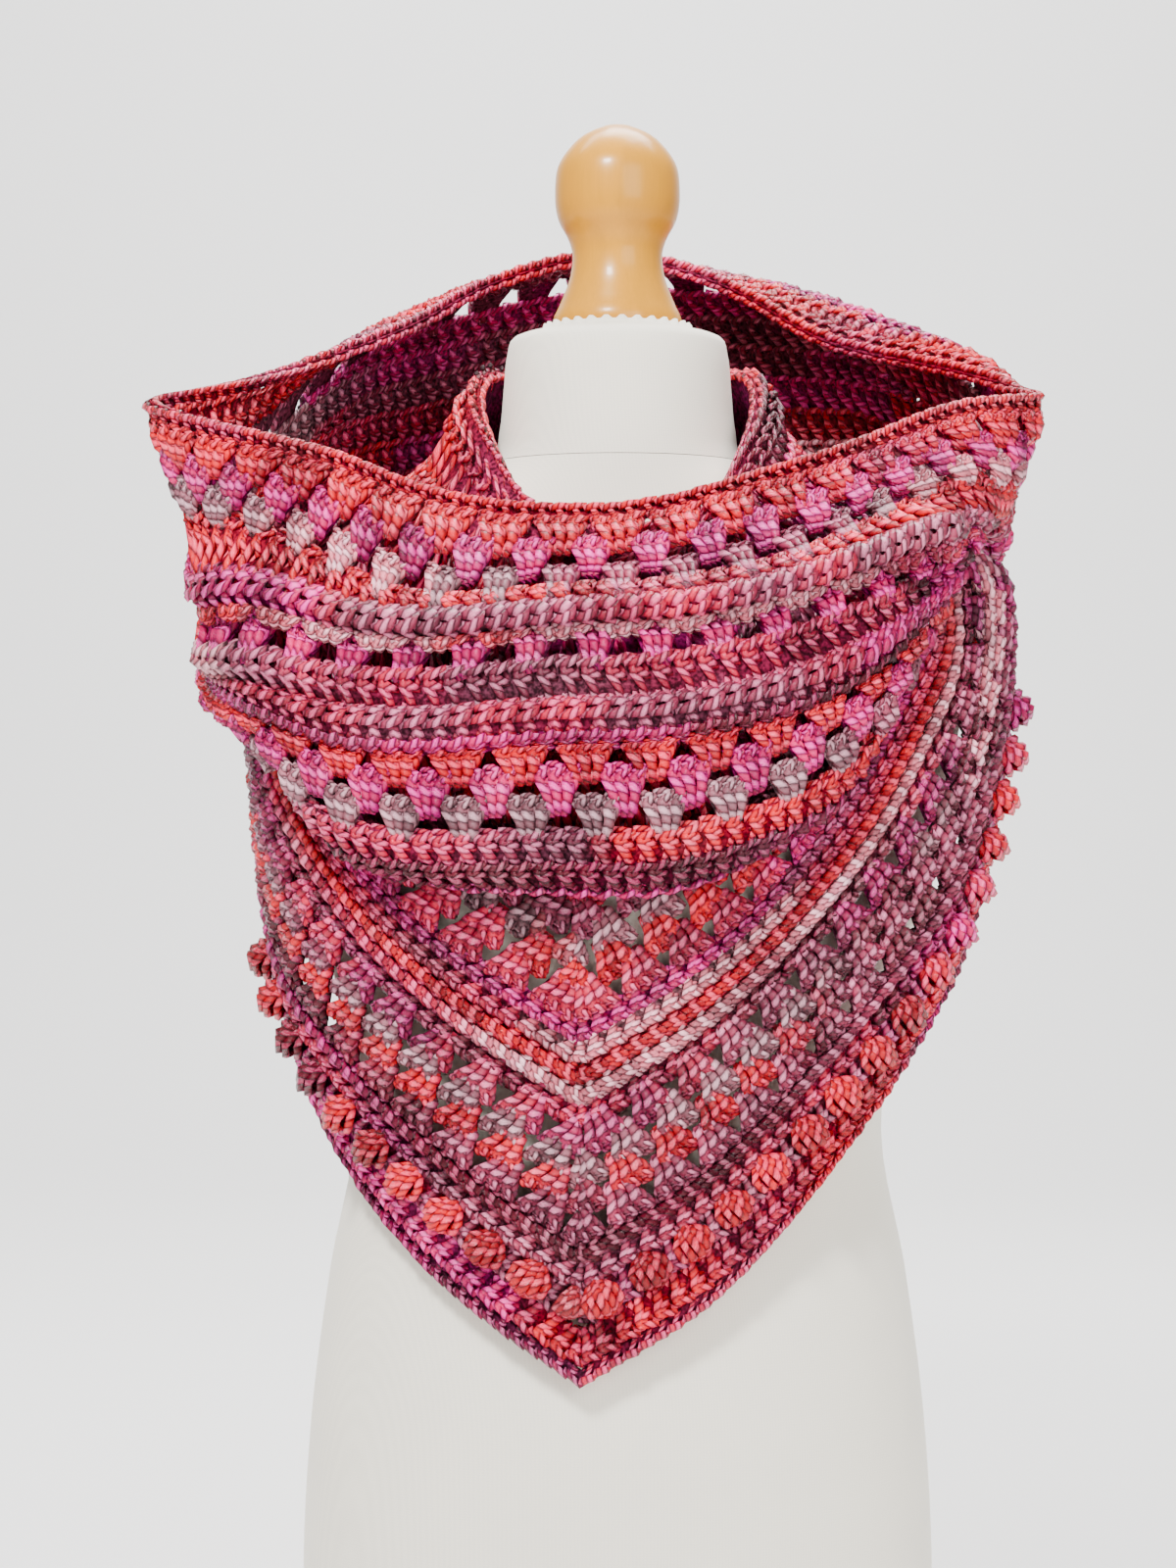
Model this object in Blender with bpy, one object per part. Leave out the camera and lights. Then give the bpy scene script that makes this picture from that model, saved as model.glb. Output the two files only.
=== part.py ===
"""Crocheted hooded cowl scarf with a pointed front, worn on a limbless dress form.

Metres, +Z up, the front towards -Y, the origin at the centre of the form's flat underside.
Angles are in degrees round the form's axis from the front centre, positive towards +X.
"""

import bmesh
import bpy
import numpy as np

# Cloth and seams
WALL = 0.0036
SEAM_GAP = 0.0003
TOUCH = 0.0018
LAYER_GAP = 0.0016
LAYER_PUFF = 0.0012
EDGE_GAP = 0.0015
END_GAP = 0.0016
RIDGE_HEIGHT = 0.0028
RELIEF_START = 0.016
RELIEF_FADE = 0.020
BOBBLE_RISE = 0.0065
BOBBLE_CROWN = 0.0030
BOBBLE_INSET = 0.0032
EDGING_DEPTH = 0.0080
EDGING_BULK = 0.0033
EDGING_SIDES = 5

# Front point
TIP_ANGLE = -8.7
POINT_COLUMNS = 40
BRAID_COURSE = 7.5
PANEL_DEPTH = 0.0165
LEAST_ROW = 0.0008
LEAST_GAP = 0.0050
BACK_COLUMNS = 20
BACK_ROWS = 6

# Cowl and hood
COWL_COLUMNS = 36
HOOD_COLUMNS = 30
FOLD_DROOP = 0.45
SOLID_SHARE = 0.62
GAP_ROW_SHARE = 0.42

# Courses, one letter each: c clusters with gaps between them, d double crochet,
# f double crochet along a fold, r a raised ridge of chains, b bobbles.
# The point reads from the hem up, the rest from the face edge.
POINT_COURSES = "dbrdccdrdccccc"
COWL_COURSES = "cccdrcfrdcccdd"
HOOD_COURSES = "dcddfcdrfdcddd"

# Level sections of the dress form
SECTION_COLUMNS = ("height", "left", "right", "front", "back", "squareness")
FORM_SECTIONS = (
    (0.000, 0.146, 0.146, 0.098, 0.106, 2.3),
    (0.100, 0.150, 0.150, 0.104, 0.110, 2.3),
    (0.180, 0.146, 0.146, 0.104, 0.106, 2.3),
    (0.250, 0.137, 0.137, 0.099, 0.096, 2.3),
    (0.315, 0.126, 0.126, 0.093, 0.086, 2.2),
    (0.370, 0.132, 0.132, 0.104, 0.088, 2.2),
    (0.420, 0.143, 0.143, 0.118, 0.094, 2.3),
    (0.460, 0.152, 0.152, 0.117, 0.099, 2.3),
    (0.500, 0.162, 0.162, 0.107, 0.103, 2.3),
    (0.540, 0.168, 0.168, 0.091, 0.100, 2.3),
    (0.565, 0.169, 0.169, 0.077, 0.092, 2.3),
    (0.583, 0.161, 0.161, 0.067, 0.082, 2.2),
    (0.597, 0.137, 0.137, 0.061, 0.074, 2.1),
    (0.610, 0.104, 0.104, 0.058, 0.068, 2.0),
    (0.622, 0.076, 0.076, 0.056, 0.063, 2.0),
    (0.632, 0.061, 0.061, 0.055, 0.059, 2.0),
    (0.648, 0.0565, 0.0565, 0.0535, 0.0555, 2.0),
    (0.668, 0.0545, 0.0545, 0.0525, 0.0535, 2.0),
    (0.686, 0.0525, 0.0525, 0.0515, 0.0520, 2.0),
    (0.692, 0.0500, 0.0500, 0.0490, 0.0495, 2.0),
    (0.694, 0.0450, 0.0450, 0.0440, 0.0445, 2.0),
)
NECK_SEAM_HEIGHT = 0.632
FORM_SIDES = 32

# Turned knob
KNOB_COLUMNS = ("height", "radius")
KNOB_PROFILE = (
    (0.6943, 0.0305),
    (0.7000, 0.0310),
    (0.7090, 0.0275),
    (0.7215, 0.0228),
    (0.7320, 0.0215),
    (0.7400, 0.0235),
    (0.7490, 0.0282),
    (0.7600, 0.0300),
    (0.7720, 0.0293),
    (0.7830, 0.0235),
    (0.7905, 0.0150),
    (0.7940, 0.0070),
)
KNOB_SIDES = 20

# Where the mantle hangs clear of the form
HANG_SECTIONS = (
    (0.195, 0.108, 0.108, 0.1100, 0.0800, 2.3),
    (0.250, 0.121, 0.121, 0.1110, 0.0850, 2.3),
    (0.300, 0.131, 0.131, 0.1120, 0.0880, 2.3),
    (0.350, 0.148, 0.148, 0.1150, 0.0900, 2.3),
    (0.385, 0.158, 0.160, 0.1180, 0.0930, 2.3),
    (0.420, 0.163, 0.168, 0.1210, 0.0970, 2.3),
    (0.460, 0.167, 0.175, 0.1195, 0.1010, 2.3),
    (0.500, 0.170, 0.181, 0.1095, 0.1045, 2.3),
    (0.540, 0.171, 0.184, 0.0940, 0.1020, 2.3),
    (0.565, 0.172, 0.183, 0.0800, 0.0945, 2.3),
    (0.583, 0.164, 0.174, 0.0695, 0.0840, 2.2),
    (0.610, 0.104, 0.106, 0.0590, 0.0690, 2.0),
    (0.694, 0.050, 0.050, 0.0490, 0.0495, 2.0),
)

# Hem of the mantle on each side of its point
HEM_COLUMNS = ("angle", "height")
HEM_RIGHT = (
    (TIP_ANGLE, 0.211),
    (25.0, 0.256),
    (57.0, 0.334),
    (68.0, 0.374),
    (76.0, 0.408),
    (84.0, 0.450),
    (92.0, 0.494),
    (100.0, 0.516),
    (110.0, 0.520),
    (125.0, 0.516),
    (180.0, 0.520),
)
HEM_LEFT = (
    (-180.0, 0.520),
    (-150.0, 0.506),
    (-120.0, 0.442),
    (-90.0, 0.362),
    (-69.0, 0.307),
    (-38.0, 0.251),
    (TIP_ANGLE, 0.211),
)

# How far the braid lies above the hem edging, along the cloth
BRAID_COLUMNS = ("angle", "rise")
BRAID_RISE = (
    (-90.0, 0.200),
    (-74.0, 0.173),
    (-60.0, 0.152),
    (-45.0, 0.134),
    (TIP_ANGLE, 0.125),
    (25.0, 0.130),
    (45.0, 0.142),
    (58.0, 0.155),
    (68.0, 0.162),
    (74.0, 0.185),
    (82.0, 0.220),
    (90.0, 0.255),
)

# Crest where the neck part turns over and down into the cowl
CREST_COLUMNS = ("angle", "height")
CREST = (
    (0.0, 0.592),
    (30.0, 0.600),
    (60.0, 0.640),
    (90.0, 0.670),
    (130.0, 0.677),
    (180.0, 0.680),
)

# Upright sections of the cowl and hood, from the face edge down and round to the inner seam
COWL_SECTION_COLUMNS = (
    "angle", "edge_radius", "edge_height", "brim_radius", "brim_height",
    "belly_radius", "belly_height", "low_radius", "low_height", "seam_height",
)
COWL_SECTIONS = (
    (-180, 0.110, 0.750, 0.152, 0.750, 0.198, 0.590, 0.160, 0.462, 0.560),
    (-150, 0.115, 0.737, 0.154, 0.733, 0.197, 0.585, 0.162, 0.470, 0.560),
    (-122, 0.133, 0.705, 0.160, 0.700, 0.192, 0.598, 0.180, 0.502, 0.552),
    (-102, 0.184, 0.679, 0.190, 0.663, 0.195, 0.596, 0.191, 0.516, 0.552),
    (-94, 0.208, 0.670, 0.205, 0.653, 0.196, 0.588, 0.191, 0.516, 0.552),
    (-86, 0.223, 0.661, 0.214, 0.640, 0.194, 0.578, 0.187, 0.521, 0.552),
    (-77, 0.190, 0.648, 0.195, 0.622, 0.190, 0.562, 0.185, 0.514, 0.544),
    (-65, 0.150, 0.634, 0.165, 0.604, 0.187, 0.540, 0.181, 0.501, 0.525),
    (-46, 0.123, 0.614, 0.138, 0.585, 0.170, 0.500, 0.163, 0.456, 0.478),
    (-11, 0.097, 0.604, 0.110, 0.580, 0.148, 0.482, 0.141, 0.438, 0.460),
    (10, 0.096, 0.607, 0.109, 0.583, 0.147, 0.487, 0.141, 0.440, 0.462),
    (34, 0.103, 0.619, 0.119, 0.588, 0.152, 0.515, 0.147, 0.471, 0.492),
    (48, 0.115, 0.628, 0.130, 0.597, 0.158, 0.545, 0.155, 0.511, 0.530),
    (62, 0.130, 0.640, 0.143, 0.614, 0.162, 0.583, 0.162, 0.556, 0.570),
    (79, 0.168, 0.660, 0.174, 0.645, 0.179, 0.621, 0.174, 0.602, 0.596),
    (87, 0.199, 0.666, 0.198, 0.655, 0.190, 0.634, 0.180, 0.608, 0.599),
    (95, 0.189, 0.673, 0.192, 0.670, 0.191, 0.636, 0.184, 0.602, 0.598),
    (103, 0.170, 0.682, 0.184, 0.686, 0.191, 0.632, 0.187, 0.588, 0.591),
    (123, 0.129, 0.700, 0.162, 0.711, 0.193, 0.600, 0.186, 0.524, 0.558),
    (150, 0.113, 0.733, 0.155, 0.738, 0.197, 0.585, 0.162, 0.470, 0.556),
)

# Courses of the cowl that lie on each fold line, and the share of the way down where each line runs
COWL_COURSE_COUNT = len(COWL_COURSES)
FOLD_LINE_COURSES = (4.5, 6.5, 7.6)
FOLD_LINE_COLUMNS = ("angle", "first", "second", "third")
FOLD_LINES = (
    (-180, 0.32, 0.46, 0.54),
    (-120, 0.38, 0.53, 0.60),
    (-90, 0.47, 0.64, 0.71),
    (-70, 0.45, 0.62, 0.70),
    (-45, 0.36, 0.50, 0.60),
    (-10, 0.28, 0.42, 0.53),
    (20, 0.29, 0.43, 0.54),
    (45, 0.35, 0.50, 0.61),
    (62, 0.46, 0.61, 0.69),
    (72, 0.60, 0.73, 0.79),
    (80, 0.71, 0.82, 0.87),
    (92, 0.70, 0.81, 0.86),
    (106, 0.50, 0.64, 0.70),
    (125, 0.38, 0.53, 0.60),
)

# Draped folds: the course at the crest, the courses to each side, how far it stands out
# at its left and right, the angles of its two ends, and how many degrees each end takes to rise
FOLDS = (
    (1.8, 1.8, 0.003, 0.004, -66, 60, 16, 16),
    (4.05, 1.4, 0.012, 0.027, -88, 69, 16, 8),
    (6.1, 1.0, 0.012, 0.006, -86, 60, 12, 16),
    (7.4, 0.7, 0.006, 0.006, -74, 58, 16, 16),
    (10.6, 2.4, 0.006, 0.006, -64, 56, 20, 20),
    (4.5, 1.5, 0.009, 0.010, 100, 258, 16, 16),
    (8.5, 1.7, 0.010, 0.008, 108, 250, 16, 16),
)

# Net on which the surfaces are kept
NET_AROUND = 360
NET_ALONG = 220
MANTLE_SPARE = 0.12
SEAM_TUCK = 0.012
TURN_SHARES = (0.4, 0.4, 0.8)
SPACING_HEIGHT = 0.45
SIDE_SLIT = 0.05

# Shares of the way from the seam up to the crest, closer over the turn of the shoulder
COVERED_SHARES = (0.0, 0.11, 0.22, 0.34, 0.50, 0.73, 1.0)
CURVE_STEPS = 60


def column(table, names, name):
    """One named column of a table, as an array."""
    return np.array([row[names.index(name)] for row in table], float)


def hermite(left, right, left_slope, right_slope, span, share):
    """Cubic between two values with the given slopes, at a share of the span."""
    square = share * share
    cube = square * share
    return (
        (2 * cube - 3 * square + 1) * left
        + (cube - 2 * square + share) * span * left_slope
        + (3 * square - 2 * cube) * right
        + (cube - square) * span * right_slope
    )


def gentle(known, values, wanted):
    """Smooth curve through the values that never overshoots them."""
    span = np.diff(known)
    rise = np.diff(values) / span
    slopes = np.concatenate([rise[:1], (rise[:-1] + rise[1:]) / 2, rise[-1:]])
    flat = np.concatenate([[False], rise[:-1] * rise[1:] <= 0, [False]])
    slopes[flat] = 0.0
    limit = 3 * np.minimum(np.abs(np.append(rise, rise[-1])), np.abs(np.insert(rise, 0, rise[0])))
    slopes = np.clip(slopes, -limit, limit)
    wanted = np.clip(wanted, known[0], known[-1])
    at = np.clip(np.searchsorted(known, wanted, side="right") - 1, 0, len(known) - 2)
    share = (wanted - known[at]) / span[at]
    return hermite(values[at], values[at + 1], slopes[at], slopes[at + 1], span[at], share)


def round_trip(known, values, period, wanted):
    """Smooth curve through values that repeat after the period."""
    count = len(known)
    wide = np.concatenate([known - period, known, known + period])
    high = np.concatenate([values, values, values])
    slopes = np.gradient(high, wide)
    wanted = known[0] + np.mod(wanted - known[0], period)
    at = np.clip(np.searchsorted(wide, wanted, side="right") - 1, count - 1, 2 * count)
    span = wide[at + 1] - wide[at]
    share = (wanted - wide[at]) / span
    return hermite(high[at], high[at + 1], slopes[at], slopes[at + 1], span, share)


def section_radius(table, angle, height):
    """Radius of a level rounded section, which may be wider on one side than on the other."""
    left, right, front, back, squareness = (
        gentle(column(table, SECTION_COLUMNS, "height"), column(table, SECTION_COLUMNS, name), height)
        for name in SECTION_COLUMNS[1:]
    )
    turn = np.radians(angle)
    width = np.where(np.sin(turn) > 0, right, left)
    depth = np.where(np.cos(turn) > 0, front, back)
    across = (np.abs(np.sin(turn)) / width) ** squareness
    deep = (np.abs(np.cos(turn)) / depth) ** squareness
    return (across + deep) ** (-1 / squareness)


def form_radius(angle, height):
    return section_radius(FORM_SECTIONS, angle, height)


def mantle_radius(angle, height):
    """Middle of the mantle's wall, which rests on the form or hangs clear of it."""
    radius = form_radius(angle, height)
    lean = np.gradient(radius, axis=1) / np.gradient(height, axis=1)
    slant = np.sqrt(1 + lean * lean)
    off = TOUCH + WALL / 2
    rested = np.stack([
        np.interp(height[i], height[i] - off * lean[i] / slant[i], radius[i] + off / slant[i])
        for i in range(len(radius))
    ])
    hanging = section_radius(HANG_SECTIONS, angle, height) + WALL / 2
    return np.maximum(rested, hanging)


def place(angle, radius, height):
    turn = np.radians(angle)
    return np.stack([radius * np.sin(turn), -radius * np.cos(turn), height], axis=-1)


def hem_height(angle):
    """Height of the hem, with its sharp point at the front."""
    angle = (np.asarray(angle, float) + 180.0) % 360.0 - 180.0
    sides = [
        gentle(column(side, HEM_COLUMNS, "angle"), column(side, HEM_COLUMNS, "height"), angle)
        for side in (HEM_LEFT, HEM_RIGHT)
    ]
    return np.where(angle < TIP_ANGLE, sides[0], sides[1])


def crest_height(angle):
    angle = np.abs((np.asarray(angle, float) + 180.0) % 360.0 - 180.0)
    return gentle(column(CREST, CREST_COLUMNS, "angle"), column(CREST, CREST_COLUMNS, "height"), angle)


def walk(points):
    """Distance covered along each path, from its first point."""
    steps = np.linalg.norm(np.diff(points, axis=1), axis=2)
    return np.concatenate([np.zeros((len(points), 1)), np.cumsum(steps, axis=1)], axis=1)


class Sheet:
    """A surface kept as a net of points: columns go round and repeat, rows go along."""

    def __init__(self, points, period, length, outward):
        self.points = points
        self.period = period
        self.length = length
        across = np.roll(points, -1, axis=0) - np.roll(points, 1, axis=0)
        along = np.gradient(points, axis=1)
        normals = np.cross(across, along) * outward
        self.normals = normals / np.linalg.norm(normals, axis=2, keepdims=True)

    def sample(self, net, around, along):
        columns, rows = net.shape[:2]
        place_around = np.mod(around, self.period) / self.period * columns
        place_along = np.clip(along / self.length, 0, 1) * (rows - 1)
        i = np.floor(place_around).astype(int) % columns
        j = np.clip(np.floor(place_along).astype(int), 0, rows - 2)
        fi = (place_around - np.floor(place_around))[..., None]
        fj = (place_along - j)[..., None]
        k = (i + 1) % columns
        low = net[i, j] * (1 - fi) + net[k, j] * fi
        high = net[i, j + 1] * (1 - fi) + net[k, j + 1] * fi
        return low * (1 - fj) + high * fj

    def at(self, around, along, lift):
        around, along, lift = np.broadcast_arrays(around, along, lift)
        normal = self.sample(self.normals, around, along)
        normal = normal / np.linalg.norm(normal, axis=-1, keepdims=True)
        return self.sample(self.points, around, along) + normal * lift[..., None]


def mantle_sheet():
    """The mantle's surface; along is the length of the way up from its lowest level."""
    angles = np.arange(NET_AROUND) * 360.0 / NET_AROUND
    levels = np.linspace(HANG_SECTIONS[0][0], FORM_SECTIONS[-1][0] + MANTLE_SPARE, 4 * NET_ALONG)
    grid_angle, grid_level = np.meshgrid(angles, levels, indexing="ij")
    paths = place(grid_angle, mantle_radius(grid_angle, grid_level), grid_level)
    distance = walk(paths)
    length = distance[:, -1].min()
    wanted = np.linspace(0, length, 4 * NET_ALONG)
    return Sheet(resample(paths, distance, [wanted] * NET_AROUND), 360.0, length, 1)


def way_up(sheet, angle, height):
    """How far along the mantle's way up a height is reached, at each angle."""
    wanted = np.linspace(0, sheet.length, sheet.points.shape[1])
    found = []
    for one_angle, one_height in zip(np.ravel(angle), np.ravel(height)):
        levels = sheet.at(np.full(wanted.shape, one_angle), wanted, 0.0)[:, 2]
        found.append(np.interp(one_height, levels, wanted))
    return np.array(found).reshape(np.shape(angle))


def cowl_curves(angle):
    """Points of the cowl's upright sections at each angle: edge, brim, belly and low, then the seam height."""
    known = column(COWL_SECTIONS, COWL_SECTION_COLUMNS, "angle")
    values = [
        round_trip(known, column(COWL_SECTIONS, COWL_SECTION_COLUMNS, name), 360.0, angle)
        for name in COWL_SECTION_COLUMNS[1:]
    ]
    corners = [place(angle, values[i], values[i + 1]) for i in range(0, 8, 2)]
    return corners, values[8]


def course_shares(angle, courses):
    """Share of the way from the face edge to the inner seam that each course has reached, at each angle."""
    known = column(FOLD_LINES, FOLD_LINE_COLUMNS, "angle")
    lines = [
        round_trip(known, column(FOLD_LINES, FOLD_LINE_COLUMNS, name), 360.0, angle)
        for name in FOLD_LINE_COLUMNS[1:]
    ]
    knots = np.array([0.0, *FOLD_LINE_COURSES, COWL_COURSE_COUNT])
    ends = (np.zeros(len(angle)), np.ones(len(angle)))
    shares = np.stack([ends[0], *lines, ends[1]], axis=1)
    return np.stack([gentle(knots, one, courses) for one in shares])


def fold_lift(angle, course):
    """How far the draped folds stand out from the cowl's plain surface."""
    total = np.zeros(np.broadcast(angle, course).shape)
    for crest, half_width, left_height, right_height, left, right, left_rise, right_rise in FOLDS:
        centre = (left + right) / 2
        turned = (angle - centre + 180.0) % 360.0 - 180.0 + centre
        height = left_height + (right_height - left_height) * np.clip((turned - left) / (right - left), 0, 1)
        fade = np.clip(np.minimum((turned - left) / left_rise, (right - turned) / right_rise), 0, 1)
        across = np.clip(np.abs(course - crest) / half_width, 0, 1)
        total += height * fade * fade * (3 - 2 * fade) * (0.5 + 0.5 * np.cos(np.pi * across))
    return total


def resample(path, distance, wanted):
    """Points at the wanted distances along each path."""
    return np.stack([
        np.stack([np.interp(wanted[i], distance[i], path[i, :, axis]) for axis in range(3)], axis=1)
        for i in range(len(path))
    ])


def curve_through(knots, steps):
    """Smooth path through each row's knots; the first and last knots only steer it."""
    reach = np.diff(knots, axis=1)
    gaps = np.linalg.norm(reach, axis=2, keepdims=True)
    rise = reach / gaps
    slopes = (gaps[:, :-1] * rise[:, 1:] + gaps[:, 1:] * rise[:, :-1]) / (gaps[:, :-1] + gaps[:, 1:])
    fine = np.linspace(0, 1, steps, endpoint=False)[None, :, None]
    pieces = [
        hermite(knots[:, k, None], knots[:, k + 1, None], slopes[:, k - 1, None], slopes[:, k, None],
                gaps[:, k, None], fine)
        for k in range(1, knots.shape[1] - 2)
    ]
    return np.concatenate(pieces + [knots[:, -2:-1]], axis=1)


def cowl_sheet(mantle):
    """Cowl and hood in one surface; along is counted in courses from the face edge to the inner seam."""
    turn = np.linspace(-180.0, 180.0, 2 * NET_AROUND, endpoint=False)
    corners, seam = cowl_curves(turn)
    rounding = sum(np.linalg.norm(np.roll(corners[k], -1, axis=0) - corners[k], axis=1) for k in (0, 2))
    distance = np.concatenate([[0], np.cumsum(rounding)])
    shares = np.arange(NET_AROUND) / NET_AROUND
    angle = np.interp(shares * distance[-1], distance, np.append(turn, 180.0))
    corners, seam = cowl_curves(angle)
    reached = way_up(mantle, angle, seam)
    inner = mantle.at(angle, reached, WALL + LAYER_GAP)
    tuck = mantle.at(angle, reached + SEAM_TUCK, WALL + LAYER_GAP)
    turn = inner + (corners[3] - inner) * np.array(TURN_SHARES)
    knots = np.stack([2 * corners[0] - corners[1]] + corners + [turn, inner, tuck], axis=1)
    path = curve_through(knots, CURVE_STEPS)
    distance = walk(path)
    courses = np.linspace(0, COWL_COURSE_COUNT, NET_ALONG)
    points = resample(path, distance, course_shares(angle, courses) * distance[:, -1:])
    plain = Sheet(points, 1.0, COWL_COURSE_COUNT, -1)
    lift = fold_lift(angle[:, None], courses[None, :])[..., None]
    points = points + lift * (plain.normals - np.array([0.0, 0.0, FOLD_DROOP]))
    return Sheet(points, 1.0, COWL_COURSE_COUNT, -1), angle


def principled(name, colour, roughness):
    material = bpy.data.materials.new(name)
    material.use_nodes = True
    shader = material.node_tree.nodes["Principled BSDF"]
    shader.inputs["Base Color"].default_value = (*colour, 1.0)
    shader.inputs["Roughness"].default_value = roughness
    shader.inputs["Metallic"].default_value = 0.0
    return material


def finish(mesh, name, material):
    """Turns a bmesh into a named object with its own material, shaded smooth."""
    data = bpy.data.meshes.new(name)
    mesh.to_mesh(data)
    mesh.free()
    data.materials.append(material)
    data.shade_smooth()
    thing = bpy.data.objects.new(name, data)
    bpy.context.scene.collection.objects.link(thing)
    return thing


def loft(name, rings, material, closed_along=False):
    """Closed body through rings of points; its ends are capped, or meet each other."""
    mesh = bmesh.new()
    corners = [[mesh.verts.new(point) for point in ring] for ring in rings]
    count = len(rings[0])
    pairs = list(zip(corners, corners[1:]))
    if closed_along:
        pairs.append((corners[-1], corners[0]))
    for low, high in pairs:
        for i in range(count):
            k = (i + 1) % count
            mesh.faces.new((low[i], low[k], high[k], high[i]))
    if not closed_along:
        mesh.faces.new(corners[0][::-1])
        mesh.faces.new(corners[-1])
    bmesh.ops.recalc_face_normals(mesh, faces=mesh.faces)
    return finish(mesh, name, material)


def cell(net, i, j):
    return (net[i][j], net[i + 1][j], net[i + 1][j + 1], net[i][j + 1])


def add_halves(mesh, corners):
    """Two triangles over a cell, split the same way on both faces of a wall."""
    mesh.faces.new((corners[0], corners[1], corners[2]))
    mesh.faces.new((corners[0], corners[2], corners[3]))


def wall(name, outer, inner, gaps, bobbles, material):
    """Closed wall between two nets of points, cut through at its gaps and raised at its bobbles."""
    mesh = bmesh.new()
    out = [[mesh.verts.new(point) for point in line] for line in outer]
    back = [[mesh.verts.new(point) for point in line] for line in inner]
    columns = len(out) - 1
    rows = len(out[0]) - 1
    raised = []
    for i in range(columns):
        for j in range(rows):
            if (i, j) in gaps:
                around_out = cell(out, i, j)
                around_back = cell(back, i, j)
                for k in range(4):
                    after = (k + 1) % 4
                    mesh.faces.new((around_out[after], around_out[k], around_back[k], around_back[after]))
                continue
            if (i, j) in bobbles:
                raised.append(mesh.faces.new(cell(out, i, j)))
            else:
                add_halves(mesh, cell(out, i, j))
            add_halves(mesh, cell(back, i, j))
    rim = [(i, 0) for i in range(columns)] + [(columns, j) for j in range(rows)]
    rim += [(i, rows) for i in range(columns, 0, -1)] + [(0, j) for j in range(rows, 0, -1)]
    for (i, j), (k, m) in zip(rim, rim[1:] + rim[:1]):
        mesh.faces.new((out[k][m], out[i][j], back[i][j], back[k][m]))
    bmesh.ops.recalc_face_normals(mesh, faces=mesh.faces)
    if raised:
        bmesh.ops.inset_individual(mesh, faces=raised, thickness=BOBBLE_INSET, depth=BOBBLE_RISE)
        bmesh.ops.poke(mesh, faces=raised, offset=BOBBLE_CROWN)
    return finish(mesh, name, material)


def paired_columns(start, stop, count):
    """Column positions in pairs: a wide solid cell, then a narrow one where gaps can be."""
    steps = np.where(np.arange(count) % 2 == 0, SOLID_SHARE, 1 - SOLID_SHARE)
    places = np.concatenate([[0], np.cumsum(steps)]) / steps.sum()
    return start + (stop - start) * places


def course_rows(courses):
    """Row positions in courses, and each row's kind: some courses have a middle line or a row of gaps."""
    places = [0.0]
    kinds = []
    for number, kind in enumerate(courses):
        if kind == "c":
            places.append(number + 1 - GAP_ROW_SHARE)
            kinds.append("c")
            kinds.append("g")
        elif kind in "rf":
            places.append(number + 0.5)
            kinds += [kind, "d"]
        else:
            kinds.append(kind)
        places.append(number + 1.0)
    return np.array(places), kinds


def relief_of(kinds):
    """How far each row line stands out: the middle line of a ridge is raised."""
    return np.array([0.0] + [RIDGE_HEIGHT * (kind == "r") for kind in kinds])


def cells_of(kinds, wanted, columns, first):
    return {(i, row) for row, kind in enumerate(kinds) if kind == wanted for i in range(first, columns - 1, 2)}


def both_faces(sheet, around, along, lift, relief):
    """Outer and inner nets of a wall over part of a sheet."""
    outer = sheet.at(around, along, lift + WALL / 2 + relief)
    inner = sheet.at(around, along, lift - WALL / 2)
    return outer, inner


def even_angles(mantle, start, stop, shares):
    """Angles between two others, at shares of the distance round the mantle."""
    turn = np.linspace(start, stop, NET_AROUND)
    level = way_up(mantle, turn, np.full(NET_AROUND, SPACING_HEIGHT))
    points = mantle.at(turn, level, 0.0)
    distance = walk(points[None])[0]
    return np.interp(np.asarray(shares) * distance[-1], distance, turn)


def seam_heights(angle):
    return cowl_curves(angle)[1]


def above_edging(mantle, angles):
    """Where the worked courses start, above the hem edging."""
    return way_up(mantle, angles, hem_height(angles)) + EDGING_DEPTH + SEAM_GAP


def point_lines(mantle, angles, courses):
    """How far up the mantle each line of the point runs: evenly as far as the braid, then parallel to it."""
    known = column(BRAID_RISE, BRAID_COLUMNS, "angle")
    rise = gentle(known, column(BRAID_RISE, BRAID_COLUMNS, "rise"), angles)
    below = np.minimum(courses, BRAID_COURSE) / BRAID_COURSE
    above = np.maximum(courses - BRAID_COURSE, 0) * PANEL_DEPTH
    return above_edging(mantle, angles)[:, None] + rise[:, None] * below[None, :] + above[None, :]


def up_to_seam(mantle, angles, lines):
    """The lines held below the seam with the cowl, a small step apart where they run behind it."""
    seam = way_up(mantle, angles, seam_heights(angles))
    steps = LEAST_ROW * np.arange(lines.shape[1] - 1, -1, -1)
    held = np.minimum(lines, seam[:, None] - steps[None, :])
    held[:, -1] = seam
    return held


def mantle_part(mantle, name, angles, worked, kinds, yarn):
    """Mantle from the hem up to the crest: worked rows as far as the seam, then the covered rows."""
    seam = worked[:, -1]
    crest = way_up(mantle, angles, crest_height(angles))
    covered = seam[:, None] + (crest - seam)[:, None] * np.array(COVERED_SHARES)[None, 1:]
    along = np.concatenate([worked, covered], axis=1)
    relief = np.concatenate([relief_of(kinds), np.zeros(len(COVERED_SHARES) - 1)])[None, :]
    relief = relief * np.clip((seam[:, None] - along - RELIEF_START) / RELIEF_FADE, 0, 1)
    outer, inner = both_faces(mantle, angles[:, None], along, 0.0, relief)
    columns = len(angles) - 1
    depth = np.diff(worked, axis=1)
    gaps = {(i, j) for i, j in cells_of(kinds, "g", columns, 1) if min(depth[i, j], depth[i + 1, j]) > LEAST_GAP}
    bobbles = cells_of(kinds, "b", columns + 1, 0)
    wall(name, outer, inner, gaps, bobbles, yarn)


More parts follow.
